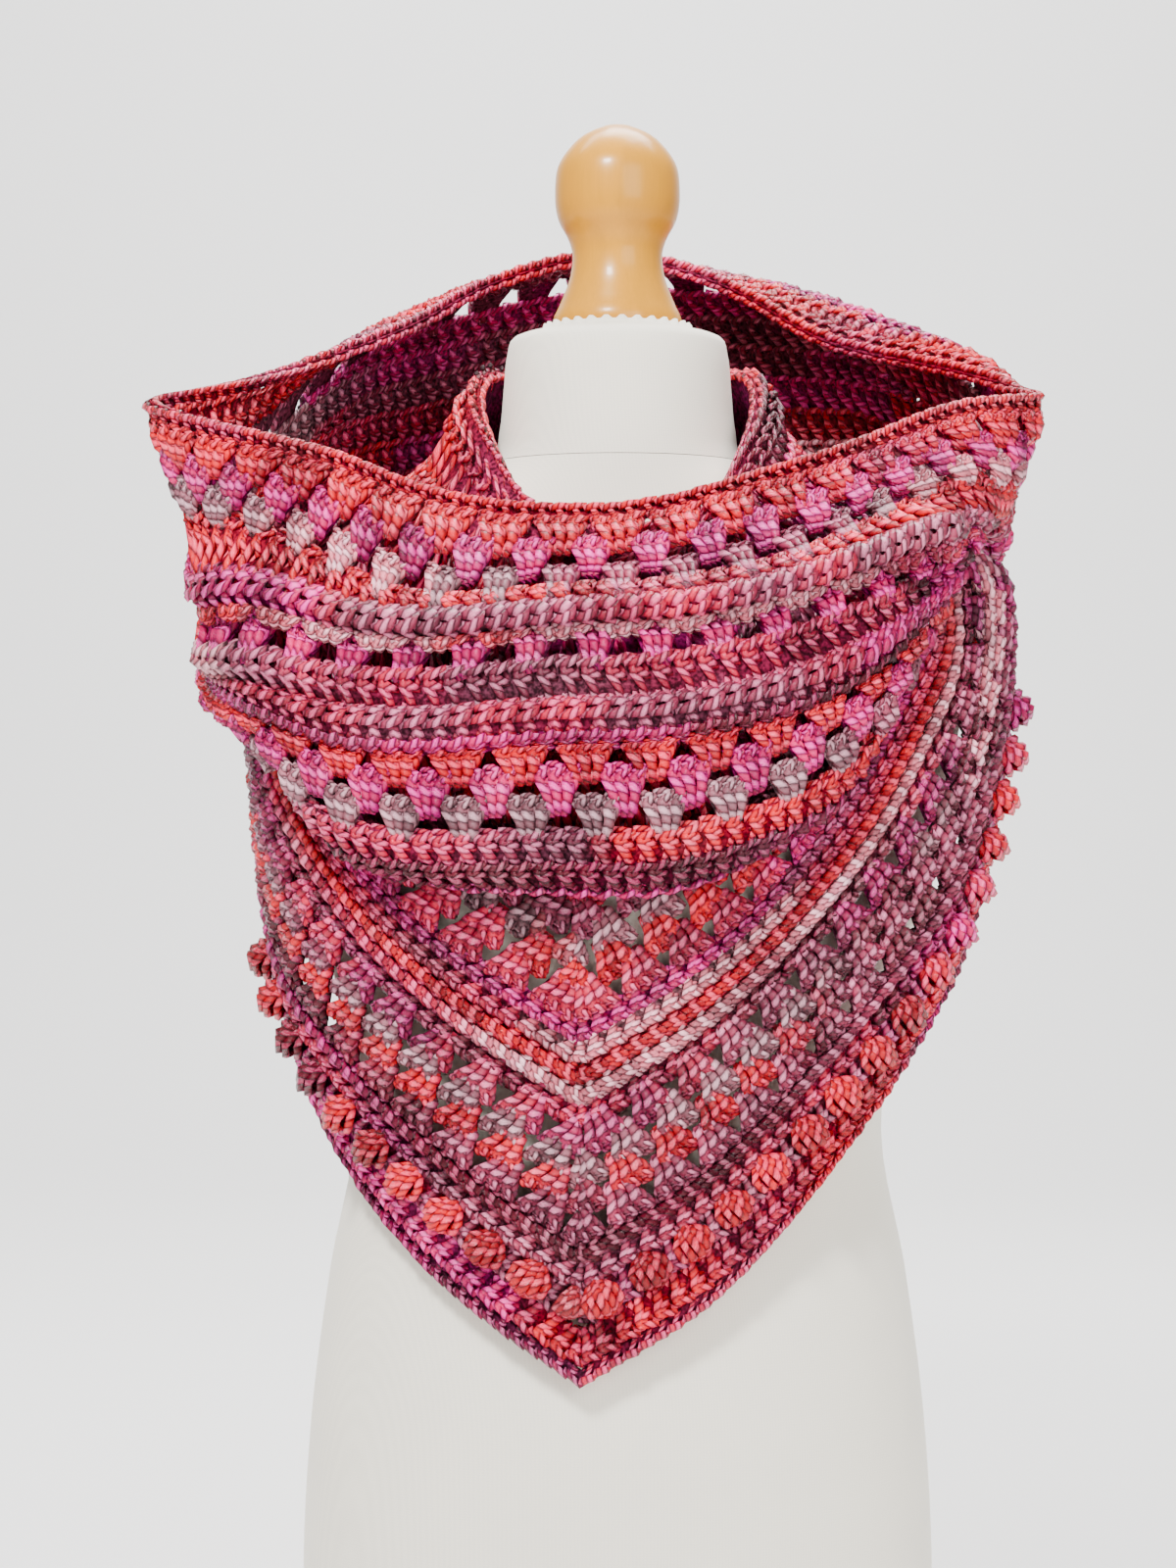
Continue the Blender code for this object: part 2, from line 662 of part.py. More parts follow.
def neck_fold(mantle, name, angles, yarn):
    """The layer from the crest down to the seam with the cowl: the mantle's own points, moved out."""
    seam = way_up(mantle, angles, seam_heights(angles)) + END_GAP
    crest = way_up(mantle, angles, crest_height(angles))
    along = seam[:, None] + (crest - seam)[:, None] * np.array(COVERED_SHARES)[None, :]
    puff = LAYER_PUFF * np.sin(np.pi * np.array(COVERED_SHARES) ** 0.5)
    outer, inner = both_faces(mantle, angles[:, None], along, WALL + LAYER_GAP + puff[None, :], 0.0)
    wall(name, outer, inner, set(), set(), yarn)


def build_mantle(mantle, yarns):
    point_angles = even_angles(mantle, SIDE_SLIT - 90.0, 90.0 - SIDE_SLIT, paired_columns(0, 1, POINT_COLUMNS))
    back_angles = even_angles(mantle, 90.0 + SIDE_SLIT, 270.0 - SIDE_SLIT, np.linspace(0, 1, BACK_COLUMNS + 1))
    places, kinds = course_rows(POINT_COURSES)
    lines = up_to_seam(mantle, point_angles, point_lines(mantle, point_angles, places))
    mantle_part(mantle, "front_point", point_angles, lines, kinds, yarns[0])
    hem = above_edging(mantle, back_angles)
    seam = way_up(mantle, back_angles, seam_heights(back_angles))
    lines = hem[:, None] + (seam - hem)[:, None] * np.linspace(0, 1, BACK_ROWS + 1)[None, :]
    mantle_part(mantle, "mantle_back", back_angles, lines, "d" * BACK_ROWS, yarns[1])
    neck_fold(mantle, "neck_fold_front", point_angles[::2], yarns[2])
    neck_fold(mantle, "neck_fold_back", back_angles, yarns[2])
    return np.sort(np.concatenate([point_angles, [TIP_ANGLE], back_angles[1:-1]]))


def first_course_depth(sheet, around):
    return 2 * np.linalg.norm(sheet.at(around, 0.5, 0.0) - sheet.at(around, 0.0, 0.0), axis=1)


def cowl_part(name, sheet, around, courses, yarn):
    places, kinds = course_rows(courses)
    surface_step = first_course_depth(sheet, around)
    first = (EDGING_DEPTH + EDGE_GAP) / surface_step
    along = first[:, None] + (COWL_COURSE_COUNT - first)[:, None] * places[None, :] / places[-1]
    outer, inner = both_faces(sheet, around[:, None], along, 0.0, relief_of(kinds)[None, :])
    wall(name, outer, inner, cells_of(kinds, "g", len(around) - 1, 1), set(), yarn)


def edging(name, centres, downs, outs, yarn):
    """A closed rounded band, deep along the cloth and thin across it."""
    turns = np.linspace(0, 2 * np.pi, EDGING_SIDES, endpoint=False)
    rings = [
        [centre + down * np.cos(turn) + out * np.sin(turn) * EDGING_BULK for turn in turns]
        for centre, down, out in zip(centres, downs, outs)
    ]
    loft(name, rings, yarn, closed_along=True)


def build_edgings(mantle, angles, sheet, around, yarns):
    middle = EDGING_DEPTH / 2 / first_course_depth(sheet, around)
    centres = sheet.at(around, middle, 0.0)
    downs = sheet.at(around, 2 * middle, 0.0) - centres
    edging("face_edging", centres, downs, sheet.at(around, middle, 1.0) - centres, yarns[0])
    hem = way_up(mantle, angles, hem_height(angles))
    centres = mantle.at(angles, hem + EDGING_DEPTH / 2, 0.0)
    downs = mantle.at(angles, hem, 0.0) - centres
    edging("hem_edging", centres, downs, mantle.at(angles, hem, 1.0) - mantle.at(angles, hem, 0.0), yarns[1])


def build_form(jersey, wood):
    heights = column(FORM_SECTIONS, SECTION_COLUMNS, "height")
    angles = np.linspace(0, 360, FORM_SIDES, endpoint=False)
    torso = [place(angles, form_radius(angles, level), np.full(FORM_SIDES, level))
             for level in heights[heights <= NECK_SEAM_HEIGHT]]
    loft("form_torso", torso, jersey)
    above = [NECK_SEAM_HEIGHT + SEAM_GAP] + list(heights[heights > NECK_SEAM_HEIGHT])
    neck = [place(angles, form_radius(angles, level), np.full(FORM_SIDES, level)) for level in above]
    loft("form_neck", neck, jersey)
    angles = np.linspace(0, 360, KNOB_SIDES, endpoint=False)
    knob = [place(angles, np.full(KNOB_SIDES, radius), np.full(KNOB_SIDES, level))
            for level, radius in zip(column(KNOB_PROFILE, KNOB_COLUMNS, "height"),
                                     column(KNOB_PROFILE, KNOB_COLUMNS, "radius"))]
    loft("form_knob", knob, wood)


def main():
    for thing in list(bpy.data.objects):
        bpy.data.objects.remove(thing, do_unlink=True)
    build_form(principled("cream_jersey", (0.80, 0.76, 0.68), 0.9),
               principled("honey_wood", (0.62, 0.33, 0.12), 0.3))
    mantle = mantle_sheet()
    hem_angles = build_mantle(mantle, (principled("point_yarn", (0.55, 0.10, 0.16), 0.9),
                          principled("mantle_yarn", (0.40, 0.08, 0.17), 0.9),
                          principled("fold_yarn", (0.33, 0.09, 0.16), 0.9)))
    sheet, angle = cowl_sheet(mantle)
    sides = np.interp([-90.0, 90.0], angle, np.arange(NET_AROUND) / NET_AROUND)
    slit = SEAM_GAP / 2
    front = paired_columns(sides[0] + slit, sides[1] - slit, COWL_COLUMNS)
    back = paired_columns(sides[1] + slit, sides[0] + 1 - slit, HOOD_COLUMNS)
    cowl_part("cowl_front", sheet, front, COWL_COURSES, principled("cowl_yarn", (0.50, 0.07, 0.17), 0.9))
    cowl_part("hood_back", sheet, back, HOOD_COURSES, principled("hood_yarn", (0.47, 0.10, 0.20), 0.9))
    around = np.concatenate([front[:-1], back[:-1]])
    build_edgings(mantle, hem_angles, sheet, around, (principled("face_yarn", (0.45, 0.04, 0.10), 0.9),
                                          principled("hem_yarn", (0.50, 0.12, 0.28), 0.9)))


main()
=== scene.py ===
"""Dresses the crocheted hooded cowl scarf and its dress form: yarn, cloth, jersey, wood and studio.

Metres, +Z up, the front towards -Y. Angles are in degrees round the form from the front centre.
"""

import functools
import math

import bmesh
import bpy
import numpy as np
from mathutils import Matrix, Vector


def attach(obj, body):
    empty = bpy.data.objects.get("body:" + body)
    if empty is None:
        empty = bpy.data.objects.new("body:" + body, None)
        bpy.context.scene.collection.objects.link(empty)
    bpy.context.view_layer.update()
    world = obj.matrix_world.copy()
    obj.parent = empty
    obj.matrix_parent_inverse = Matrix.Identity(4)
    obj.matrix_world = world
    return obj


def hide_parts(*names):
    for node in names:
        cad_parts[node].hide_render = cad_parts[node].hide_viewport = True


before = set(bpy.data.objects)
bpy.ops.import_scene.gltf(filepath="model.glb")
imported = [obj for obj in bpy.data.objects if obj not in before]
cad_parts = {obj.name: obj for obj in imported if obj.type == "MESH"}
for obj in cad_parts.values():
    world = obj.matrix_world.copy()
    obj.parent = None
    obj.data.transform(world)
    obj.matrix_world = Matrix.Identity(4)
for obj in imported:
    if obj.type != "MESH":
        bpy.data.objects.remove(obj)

bl_info = {
    "name": "Crocheted Cowl Scarf",
    "version": (1, 0, 0),
    "blender": (4, 5, 0),
    "location": "View3D > Sidebar > Cowl Scarf",
    "description": "Builds the stitches, cloth and dress form of a crocheted hooded cowl scarf",
    "category": "Add Mesh",
}

# Cloth and seams
WALL = 0.0036
SEAM_GAP = 0.0003
TOUCH = 0.0018
LAYER_GAP = 0.0016
EDGE_GAP = 0.0015
END_GAP = 0.0016
EDGING_DEPTH = 0.0080

# Front point
TIP_ANGLE = -8.7
BRAID_COURSE = 7.5
PANEL_DEPTH = 0.0165

# Cowl and hood
FOLD_DROOP = 0.45

# How many courses the point has from the hem up, and the cowl from its face edge down
POINT_COURSE_COUNT = 14
COWL_COURSE_COUNT = 14

# Level sections of the dress form: height, reach to the left, right, front and back, squareness
FORM_SECTIONS = (
    (0.000, 0.146, 0.146, 0.098, 0.106, 2.3),
    (0.100, 0.150, 0.150, 0.104, 0.110, 2.3),
    (0.180, 0.146, 0.146, 0.104, 0.106, 2.3),
    (0.250, 0.137, 0.137, 0.099, 0.096, 2.3),
    (0.315, 0.126, 0.126, 0.093, 0.086, 2.2),
    (0.370, 0.132, 0.132, 0.104, 0.088, 2.2),
    (0.420, 0.143, 0.143, 0.118, 0.094, 2.3),
    (0.460, 0.152, 0.152, 0.117, 0.099, 2.3),
    (0.500, 0.162, 0.162, 0.107, 0.103, 2.3),
    (0.540, 0.168, 0.168, 0.091, 0.100, 2.3),
    (0.565, 0.169, 0.169, 0.077, 0.092, 2.3),
    (0.583, 0.161, 0.161, 0.067, 0.082, 2.2),
    (0.597, 0.137, 0.137, 0.061, 0.074, 2.1),
    (0.610, 0.104, 0.104, 0.058, 0.068, 2.0),
    (0.622, 0.076, 0.076, 0.056, 0.063, 2.0),
    (0.632, 0.061, 0.061, 0.055, 0.059, 2.0),
    (0.648, 0.0565, 0.0565, 0.0535, 0.0555, 2.0),
    (0.668, 0.0545, 0.0545, 0.0525, 0.0535, 2.0),
    (0.686, 0.0525, 0.0525, 0.0515, 0.0520, 2.0),
    (0.692, 0.0500, 0.0500, 0.0490, 0.0495, 2.0),
    (0.694, 0.0450, 0.0450, 0.0440, 0.0445, 2.0),
)
NECK_SEAM_HEIGHT = 0.632

# Turned knob: height and radius
KNOB_PROFILE = (
    (0.6943, 0.0305), (0.7000, 0.0310), (0.7090, 0.0275), (0.7215, 0.0228),
    (0.7320, 0.0215), (0.7400, 0.0235), (0.7490, 0.0282), (0.7600, 0.0300),
    (0.7720, 0.0293), (0.7830, 0.0235), (0.7905, 0.0150), (0.7940, 0.0070),
)

# Where the mantle hangs clear of the form
HANG_SECTIONS = (
    (0.195, 0.108, 0.108, 0.1100, 0.0800, 2.3),
    (0.250, 0.121, 0.121, 0.1110, 0.0850, 2.3),
    (0.300, 0.131, 0.131, 0.1120, 0.0880, 2.3),
    (0.350, 0.148, 0.148, 0.1150, 0.0900, 2.3),
    (0.385, 0.158, 0.160, 0.1180, 0.0930, 2.3),
    (0.420, 0.163, 0.168, 0.1210, 0.0970, 2.3),
    (0.460, 0.167, 0.175, 0.1195, 0.1010, 2.3),
    (0.500, 0.170, 0.181, 0.1095, 0.1045, 2.3),
    (0.540, 0.171, 0.184, 0.0940, 0.1020, 2.3),
    (0.565, 0.172, 0.183, 0.0800, 0.0945, 2.3),
    (0.583, 0.164, 0.174, 0.0695, 0.0840, 2.2),
    (0.610, 0.104, 0.106, 0.0590, 0.0690, 2.0),
    (0.694, 0.050, 0.050, 0.0490, 0.0495, 2.0),
)

# Hem of the mantle on each side of its point: angle and height
HEM_RIGHT = (
    (TIP_ANGLE, 0.211), (25.0, 0.256), (57.0, 0.334), (68.0, 0.374),
    (76.0, 0.408), (84.0, 0.450), (92.0, 0.494), (100.0, 0.516),
    (110.0, 0.520), (125.0, 0.516), (180.0, 0.520),
)
HEM_LEFT = (
    (-180.0, 0.520), (-150.0, 0.506), (-120.0, 0.442), (-90.0, 0.362),
    (-69.0, 0.307), (-38.0, 0.251), (TIP_ANGLE, 0.211),
)

# How far the braid lies above the hem edging at each angle, along the cloth
BRAID_RISE = (
    (-90.0, 0.200), (-74.0, 0.173), (-60.0, 0.152), (-45.0, 0.134),
    (TIP_ANGLE, 0.125), (25.0, 0.130), (45.0, 0.142), (58.0, 0.155),
    (68.0, 0.162), (74.0, 0.185), (82.0, 0.220), (90.0, 0.255),
)

# Crest where the neck part turns over and down into the cowl: angle and height
CREST = (
    (0.0, 0.592), (30.0, 0.600), (60.0, 0.640), (90.0, 0.670),
    (130.0, 0.677), (180.0, 0.680),
)

# Upright sections of the cowl and hood: the angle, then the radius and height of the face edge,
# of the brim, of the belly and of the lowest place, then the height of the inner seam
COWL_SECTIONS = (
    (-180, 0.110, 0.750, 0.152, 0.750, 0.198, 0.590, 0.160, 0.462, 0.560),
    (-150, 0.115, 0.737, 0.154, 0.733, 0.197, 0.585, 0.162, 0.470, 0.560),
    (-122, 0.133, 0.705, 0.160, 0.700, 0.192, 0.598, 0.180, 0.502, 0.552),
    (-102, 0.184, 0.679, 0.190, 0.663, 0.195, 0.596, 0.191, 0.516, 0.552),
    (-94, 0.208, 0.670, 0.205, 0.653, 0.196, 0.588, 0.191, 0.516, 0.552),
    (-86, 0.223, 0.661, 0.214, 0.640, 0.194, 0.578, 0.187, 0.521, 0.552),
    (-77, 0.190, 0.648, 0.195, 0.622, 0.190, 0.562, 0.185, 0.514, 0.544),
    (-65, 0.150, 0.634, 0.165, 0.604, 0.187, 0.540, 0.181, 0.501, 0.525),
    (-46, 0.123, 0.614, 0.138, 0.585, 0.170, 0.500, 0.163, 0.456, 0.478),
    (-11, 0.097, 0.604, 0.110, 0.580, 0.148, 0.482, 0.141, 0.438, 0.460),
    (10, 0.096, 0.607, 0.109, 0.583, 0.147, 0.487, 0.141, 0.440, 0.462),
    (34, 0.103, 0.619, 0.119, 0.588, 0.152, 0.515, 0.147, 0.471, 0.492),
    (48, 0.115, 0.628, 0.130, 0.597, 0.158, 0.545, 0.155, 0.511, 0.530),
    (62, 0.130, 0.640, 0.143, 0.614, 0.162, 0.583, 0.162, 0.556, 0.570),
    (79, 0.168, 0.660, 0.174, 0.645, 0.179, 0.621, 0.174, 0.602, 0.596),
    (87, 0.199, 0.666, 0.198, 0.655, 0.190, 0.634, 0.180, 0.608, 0.599),
    (95, 0.189, 0.673, 0.192, 0.670, 0.191, 0.636, 0.184, 0.602, 0.598),
    (103, 0.170, 0.682, 0.184, 0.686, 0.191, 0.632, 0.187, 0.588, 0.591),
    (123, 0.129, 0.700, 0.162, 0.711, 0.193, 0.600, 0.186, 0.524, 0.558),
    (150, 0.113, 0.733, 0.155, 0.738, 0.197, 0.585, 0.162, 0.470, 0.556),
)

# Courses of the cowl that lie on each fold line, and at each angle the share of the way down where it runs
FOLD_LINE_COURSES = (4.5, 6.5, 7.6)
FOLD_LINES = (
    (-180, 0.32, 0.46, 0.54), (-120, 0.38, 0.53, 0.60),
    (-90, 0.47, 0.64, 0.71), (-70, 0.45, 0.62, 0.70),
    (-45, 0.36, 0.50, 0.60), (-10, 0.28, 0.42, 0.53),
    (20, 0.29, 0.43, 0.54), (45, 0.35, 0.50, 0.61),
    (62, 0.46, 0.61, 0.69), (72, 0.60, 0.73, 0.79),
    (80, 0.71, 0.82, 0.87), (92, 0.70, 0.81, 0.86),
    (106, 0.50, 0.64, 0.70), (125, 0.38, 0.53, 0.60),
)

# Draped folds: the course at the crest, the courses to each side, how far it stands out
# at its left and right, the angles of its two ends, and how many degrees each end takes to rise
FOLDS = (
    (1.8, 1.8, 0.003, 0.004, -66, 60, 16, 16),
    (4.05, 1.4, 0.012, 0.027, -88, 69, 16, 8),
    (6.1, 1.0, 0.012, 0.006, -86, 60, 12, 16),
    (7.4, 0.7, 0.006, 0.006, -74, 58, 16, 16),
    (10.6, 2.4, 0.006, 0.006, -64, 56, 20, 20),
    (4.5, 1.5, 0.009, 0.010, 100, 258, 16, 16),
    (8.5, 1.7, 0.010, 0.008, 108, 250, 16, 16),
)

# Net on which the surfaces are kept
NET_AROUND = 360
NET_ALONG = 220
MANTLE_SPARE = 0.12
SEAM_TUCK = 0.012
TURN_SHARES = (0.4, 0.4, 0.8)
SIDE_SLIT = 0.05

# Shares of the way from the seam up to the crest, closer over the turn of the shoulder
COVERED_SHARES = (0.0, 0.11, 0.22, 0.34, 0.50, 0.73, 1.0)
CURVE_STEPS = 60

# Laying the stitches: lengths are in metres, but the least size of a cell is in millimetres
LINE_STEPS = 500
BOBBLE_PITCH = 0.0235
BOBBLE_SHARE = 0.60
HIDDEN_RISE = 0.016
BACKING = 0.0008
WELD = 0.0004
LEAST_SIZE = 0.8
RIM_RISE = 0.0030
ROW_DEPTH = 0.0175
ROW_SPARE = 0.0100
GAUGE_COURSES = (1.0, 6.0, 10.0)
LEAST_STITCH = 0.0040
MOST_STITCHES = 1150
POINT_PITCH = 0.0240
HEM_STITCHES = 150
FACE_STITCHES = 132

# Courses of the upper band at the front, and where they lie at its two sides, beyond a turn in degrees
BAND_SQUEEZE = ((0.0, 3.0, 3.6, 14.0), (0.0, 2.0, 3.45, 14.0))
BAND_TURN = 36.0
RIM_DEPTH = 0.0080

# Dress form
FORM_RING = 120
KNOB_RING = 64
TORSO_LEVELS = np.concatenate([np.linspace(0, 0.540, 44), np.linspace(0.545, NECK_SEAM_HEIGHT, 24)])
NECK_LEVELS = np.append(
    np.linspace(NECK_SEAM_HEIGHT + SEAM_GAP, 0.686, 12), (0.6885, 0.6905, 0.6922, 0.6935))
KNOB_LEVELS = np.append(
    np.linspace(KNOB_PROFILE[0][0], KNOB_PROFILE[-1][0] - 0.002, 44),
    KNOB_PROFILE[-1][0] - np.array([0.001, 0.0004, 0.0]))
RIB_PITCH = 0.0016
JERSEY_ROW = 0.0012

# Frill of the neck's cover round the knob: radius, rise and how much of the waves each ring takes
FRILL_WAVES = 30
FRILL_SWAY = 0.0012
FRILL_LIFT = 0.0020
FRILL_PROFILE = (
    (0.0400, 0.0012, 0.0), (0.0362, 0.0016, 0.3), (0.0345, 0.0038, 1.0),
    (0.0330, 0.0036, 1.0), (0.0326, 0.0008, 0.3), (0.0318, 0.0004, 0.0),
)

# Crocheted rows of each piece: the kind of stitch, the lines between which they lie, counted in
# courses, and the shades from left to right. The kinds are c clusters, d double crochet, r a raised
# ridge of chains and b bobbles. Clusters also say how much of their pitch a head takes, and whether
# they stand half a pitch along.
COWL_ROWS = (
    ("c", 0.00, 1.00, "red red coral rose coral", 0.94, 0),
    ("c", 0.96, 2.00, "magenta magenta lilac magenta", 0.74, 1),
    ("c", 2.00, 2.95, "grey pale grey mauve grey pale", 0.74, 0),
    ("d", 2.90, 3.60, "red coral red rose coral red"),
    ("r", 3.50, 4.35, "magenta magenta rose mauve mauve rose mauve maroon"),
    ("c", 4.30, 4.58, "coral pale rose", 0.90, 0),
    ("c", 4.52, 5.45, "magenta magenta magenta", 0.78, 1),
    ("d", 5.55, 6.70, "grey pale mauve rose maroon magenta maroon"),
    ("r", 6.70, 7.30, "maroon rose mauve rose magenta rose"),
    ("d", 7.30, 7.80, "maroon magenta maroon plum"),
    ("c", 7.70, 8.42, "red coral coral", 0.90, 0),
    ("c", 8.38, 9.22, "magenta magenta magenta", 0.78, 1),
    ("c", 9.16, 9.90, "grey grey mauve", 0.76, 0),
    ("d", 10.05, 10.90, "maroon rose mauve coral red maroon"),
    ("d", 10.90, 11.70, "plum maroon plum"),
    ("d", 11.70, 12.50, "maroon magenta maroon"),
    ("d", 12.50, 14.00, "plum maroon plum"),
)
HOOD_ROWS = (
    ("d", 0.00, 1.00, "coral red rose mauve red coral"),
    ("c", 1.00, 2.00, "magenta lilac magenta mauve magenta", 0.86, 1),
    ("d", 2.00, 3.00, "grey rose mauve lilac grey"),
    ("d", 3.00, 4.00, "rose coral lilac rose coral rose"),
    ("d", 4.00, 5.00, "mauve pale lilac rose magenta"),
    ("c", 5.00, 6.00, "magenta lilac rose magenta red", 0.88, 0),
    ("d", 6.00, 7.00, "rose mauve grey rose mauve"),
    ("r", 7.00, 7.90, "magenta mauve plum magenta"),
    ("d", 7.90, 9.00, "plum rose mauve mauve rose"),
    ("d", 9.00, 10.00, "rose coral rose red"),
    ("c", 10.00, 11.00, "magenta lilac magenta", 0.86, 1),
    ("d", 11.00, 12.00, "mauve grey mauve grey"),
    ("d", 12.00, 13.00, "maroon rose red maroon"),
    ("d", 13.00, 14.00, "maroon plum mauve plum"),
)
POINT_ROWS = (
    ("d", 0.00, 1.00, "magenta magenta rose coral rose coral rose"),
    ("b", 1.00, 2.10, "magenta maroon red red red red red red coral rose magenta mauve"),
    ("d", 2.05, 2.80, "rose plum mauve rose maroon magenta"),
    ("r", 2.75, 3.35, "plum maroon mauve plum"),
    ("c", 3.35, 4.15, "rose maroon mauve maroon mauve plum", 0.90, 0),
    ("c", 4.10, 4.90, "red red coral mauve mauve pale", 0.90, 1),
    ("c", 4.85, 5.65, "grey mauve grey grey maroon pale grey", 0.90, 0),
    ("c", 5.60, 6.40, "maroon plum rose mauve plum maroon", 0.90, 1),
    ("d", 6.35, 7.05, "plum maroon rose maroon plum"),
    ("r", 7.05, 7.65, "lilac rose pale pale pale"),
    ("r", 7.60, 8.10, "red coral coral coral"),
    ("d", 8.10, 8.75, "maroon rose pale rose mauve"),
    ("d", 8.70, 9.35, "magenta plum magenta plum maroon"),
    ("c", 9.30, 10.10, "lilac magenta rose rose magenta mauve", 0.88, 0),
    ("c", 10.05, 10.85, "plum rose red red red mauve grey", 0.84, 1),
    ("c", 10.80, 11.60, "red red grey grey red maroon mauve", 0.84, 0),
    ("c", 11.55, 12.35, "plum maroon mauve grey rose mauve", 0.85, 1),
    ("c", 12.30, 13.10, "plum red plum maroon", 0.82, 0),
    ("c", 13.05, 14.05, "red mauve rose", 0.82, 1),
)
BACK_ROW_DYES = (
    "lilac magenta plum", "coral red red", "mauve grey grey",
    "magenta plum maroon", "rose coral red", "magenta magenta plum",
)
FOLD_DYES = (
    "red rose maroon", "red magenta red", "rose mauve plum", "magenta red magenta",
)
CREST_DYES = "red rose red"
COVERED_DYES = "plum mauve plum"
BETWEEN_BOBBLES = "plum mauve lilac"
FACE_DYES = "rose coral rose coral red coral red coral rose"
HEM_DYES = "coral rose mauve magenta plum magenta magenta plum"

# Stage
STUDIO_WIDTH = 10.0
STUDIO_FRONT = -3.0
BACKDROP_START = 2.2
BACKDROP_TOP = 5.0
SWEEP_RADIUS = 0.8
IMAGE_HEIGHT = 1600
CAMERA_PLACE = (-0.0141, -1.5, 0.479)
FOCAL_PIXELS = 3191.0
AIM = Vector((0.0, 0.0, 0.48))
LAMPS = (
    ("key_lamp", (-0.45, -1.15, 1.65), 48.0, 0.28, AIM),
    ("fill_lamp", (0.9, -1.8, 1.15), 26.0, 1.2, AIM),
    ("top_lamp", (0.2, 0.6, 2.2), 46.0, 1.0, AIM),
    ("backdrop_lamp", (0.0, 1.0, 2.6), 130.0, 2.0, Vector((0.0, 3.0, 0.6))),
)
WORLD_LIGHT = 0.43


def hermite(left, right, left_slope, right_slope, span, share):
    """Cubic between two values with the given slopes, at a share of the span."""
    square = share * share
    cube = square * share
    return (
        (2 * cube - 3 * square + 1) * left
        + (cube - 2 * square + share) * span * left_slope
        + (3 * square - 2 * cube) * right
        + (cube - square) * span * right_slope
    )


def gentle(known, values, wanted):
    """Smooth curve through the values that never overshoots them."""
    span = np.diff(known)
    rise = np.diff(values) / span
    slopes = np.concatenate([rise[:1], (rise[:-1] + rise[1:]) / 2, rise[-1:]])
    flat = np.concatenate([[False], rise[:-1] * rise[1:] <= 0, [False]])
    slopes[flat] = 0.0
    limit = 3 * np.minimum(np.abs(np.append(rise, rise[-1])), np.abs(np.insert(rise, 0, rise[0])))
    slopes = np.clip(slopes, -limit, limit)
    wanted = np.clip(wanted, known[0], known[-1])
    at = np.clip(np.searchsorted(known, wanted, side="right") - 1, 0, len(known) - 2)
    share = (wanted - known[at]) / span[at]
    return hermite(values[at], values[at + 1], slopes[at], slopes[at + 1], span[at], share)


def round_trip(known, values, period, wanted):
    """Smooth curve through values that repeat after the period."""
    count = len(known)
    wide = np.concatenate([known - period, known, known + period])
    high = np.concatenate([values, values, values])
    slopes = np.gradient(high, wide)
    wanted = known[0] + np.mod(wanted - known[0], period)
    at = np.clip(np.searchsorted(wide, wanted, side="right") - 1, count - 1, 2 * count)
    span = wide[at + 1] - wide[at]
    share = (wanted - wide[at]) / span
    return hermite(high[at], high[at + 1], slopes[at], slopes[at + 1], span, share)


def through(table, wanted):
    """Smooth curve through a table of pairs."""
    return gentle(*np.array(table, float).T, wanted)


def section_radius(table, angle, height):
    """Radius of a level rounded section, which may be wider on one side than on the other."""
    levels, *sizes = np.array(table, float).T
    left, right, front, back, squareness = (gentle(levels, size, height) for size in sizes)
    turn = np.radians(angle)
    width = np.where(np.sin(turn) > 0, right, left)
    depth = np.where(np.cos(turn) > 0, front, back)
    across = (np.abs(np.sin(turn)) / width) ** squareness
    deep = (np.abs(np.cos(turn)) / depth) ** squareness
    return (across + deep) ** (-1 / squareness)


def form_radius(angle, height):
    return section_radius(FORM_SECTIONS, angle, height)


def mantle_radius(angle, height):
    """Middle of the mantle's wall, which rests on the form or hangs clear of it."""
    radius = form_radius(angle, height)
    lean = np.gradient(radius, axis=1) / np.gradient(height, axis=1)
    slant = np.sqrt(1 + lean * lean)
    off = TOUCH + WALL / 2
    rested = np.stack([
        np.interp(height[i], height[i] - off * lean[i] / slant[i], radius[i] + off / slant[i])
        for i in range(len(radius))
    ])
    hanging = section_radius(HANG_SECTIONS, angle, height) + WALL / 2
    return np.maximum(rested, hanging)


def place(angle, radius, height):
    turn = np.radians(angle)
    return np.stack([radius * np.sin(turn), -radius * np.cos(turn), height], axis=-1)


def hem_height(angle):
    """Height of the hem, with its sharp point at the front."""
    angle = (np.asarray(angle, float) + 180.0) % 360.0 - 180.0
    return np.where(angle < TIP_ANGLE, through(HEM_LEFT, angle), through(HEM_RIGHT, angle))


def crest_height(angle):
    angle = np.abs((np.asarray(angle, float) + 180.0) % 360.0 - 180.0)
    return through(CREST, angle)


def walk(points):
    """Distance covered along each path, from its first point."""
    steps = np.linalg.norm(np.diff(points, axis=1), axis=2)
    return np.concatenate([np.zeros((len(points), 1)), np.cumsum(steps, axis=1)], axis=1)


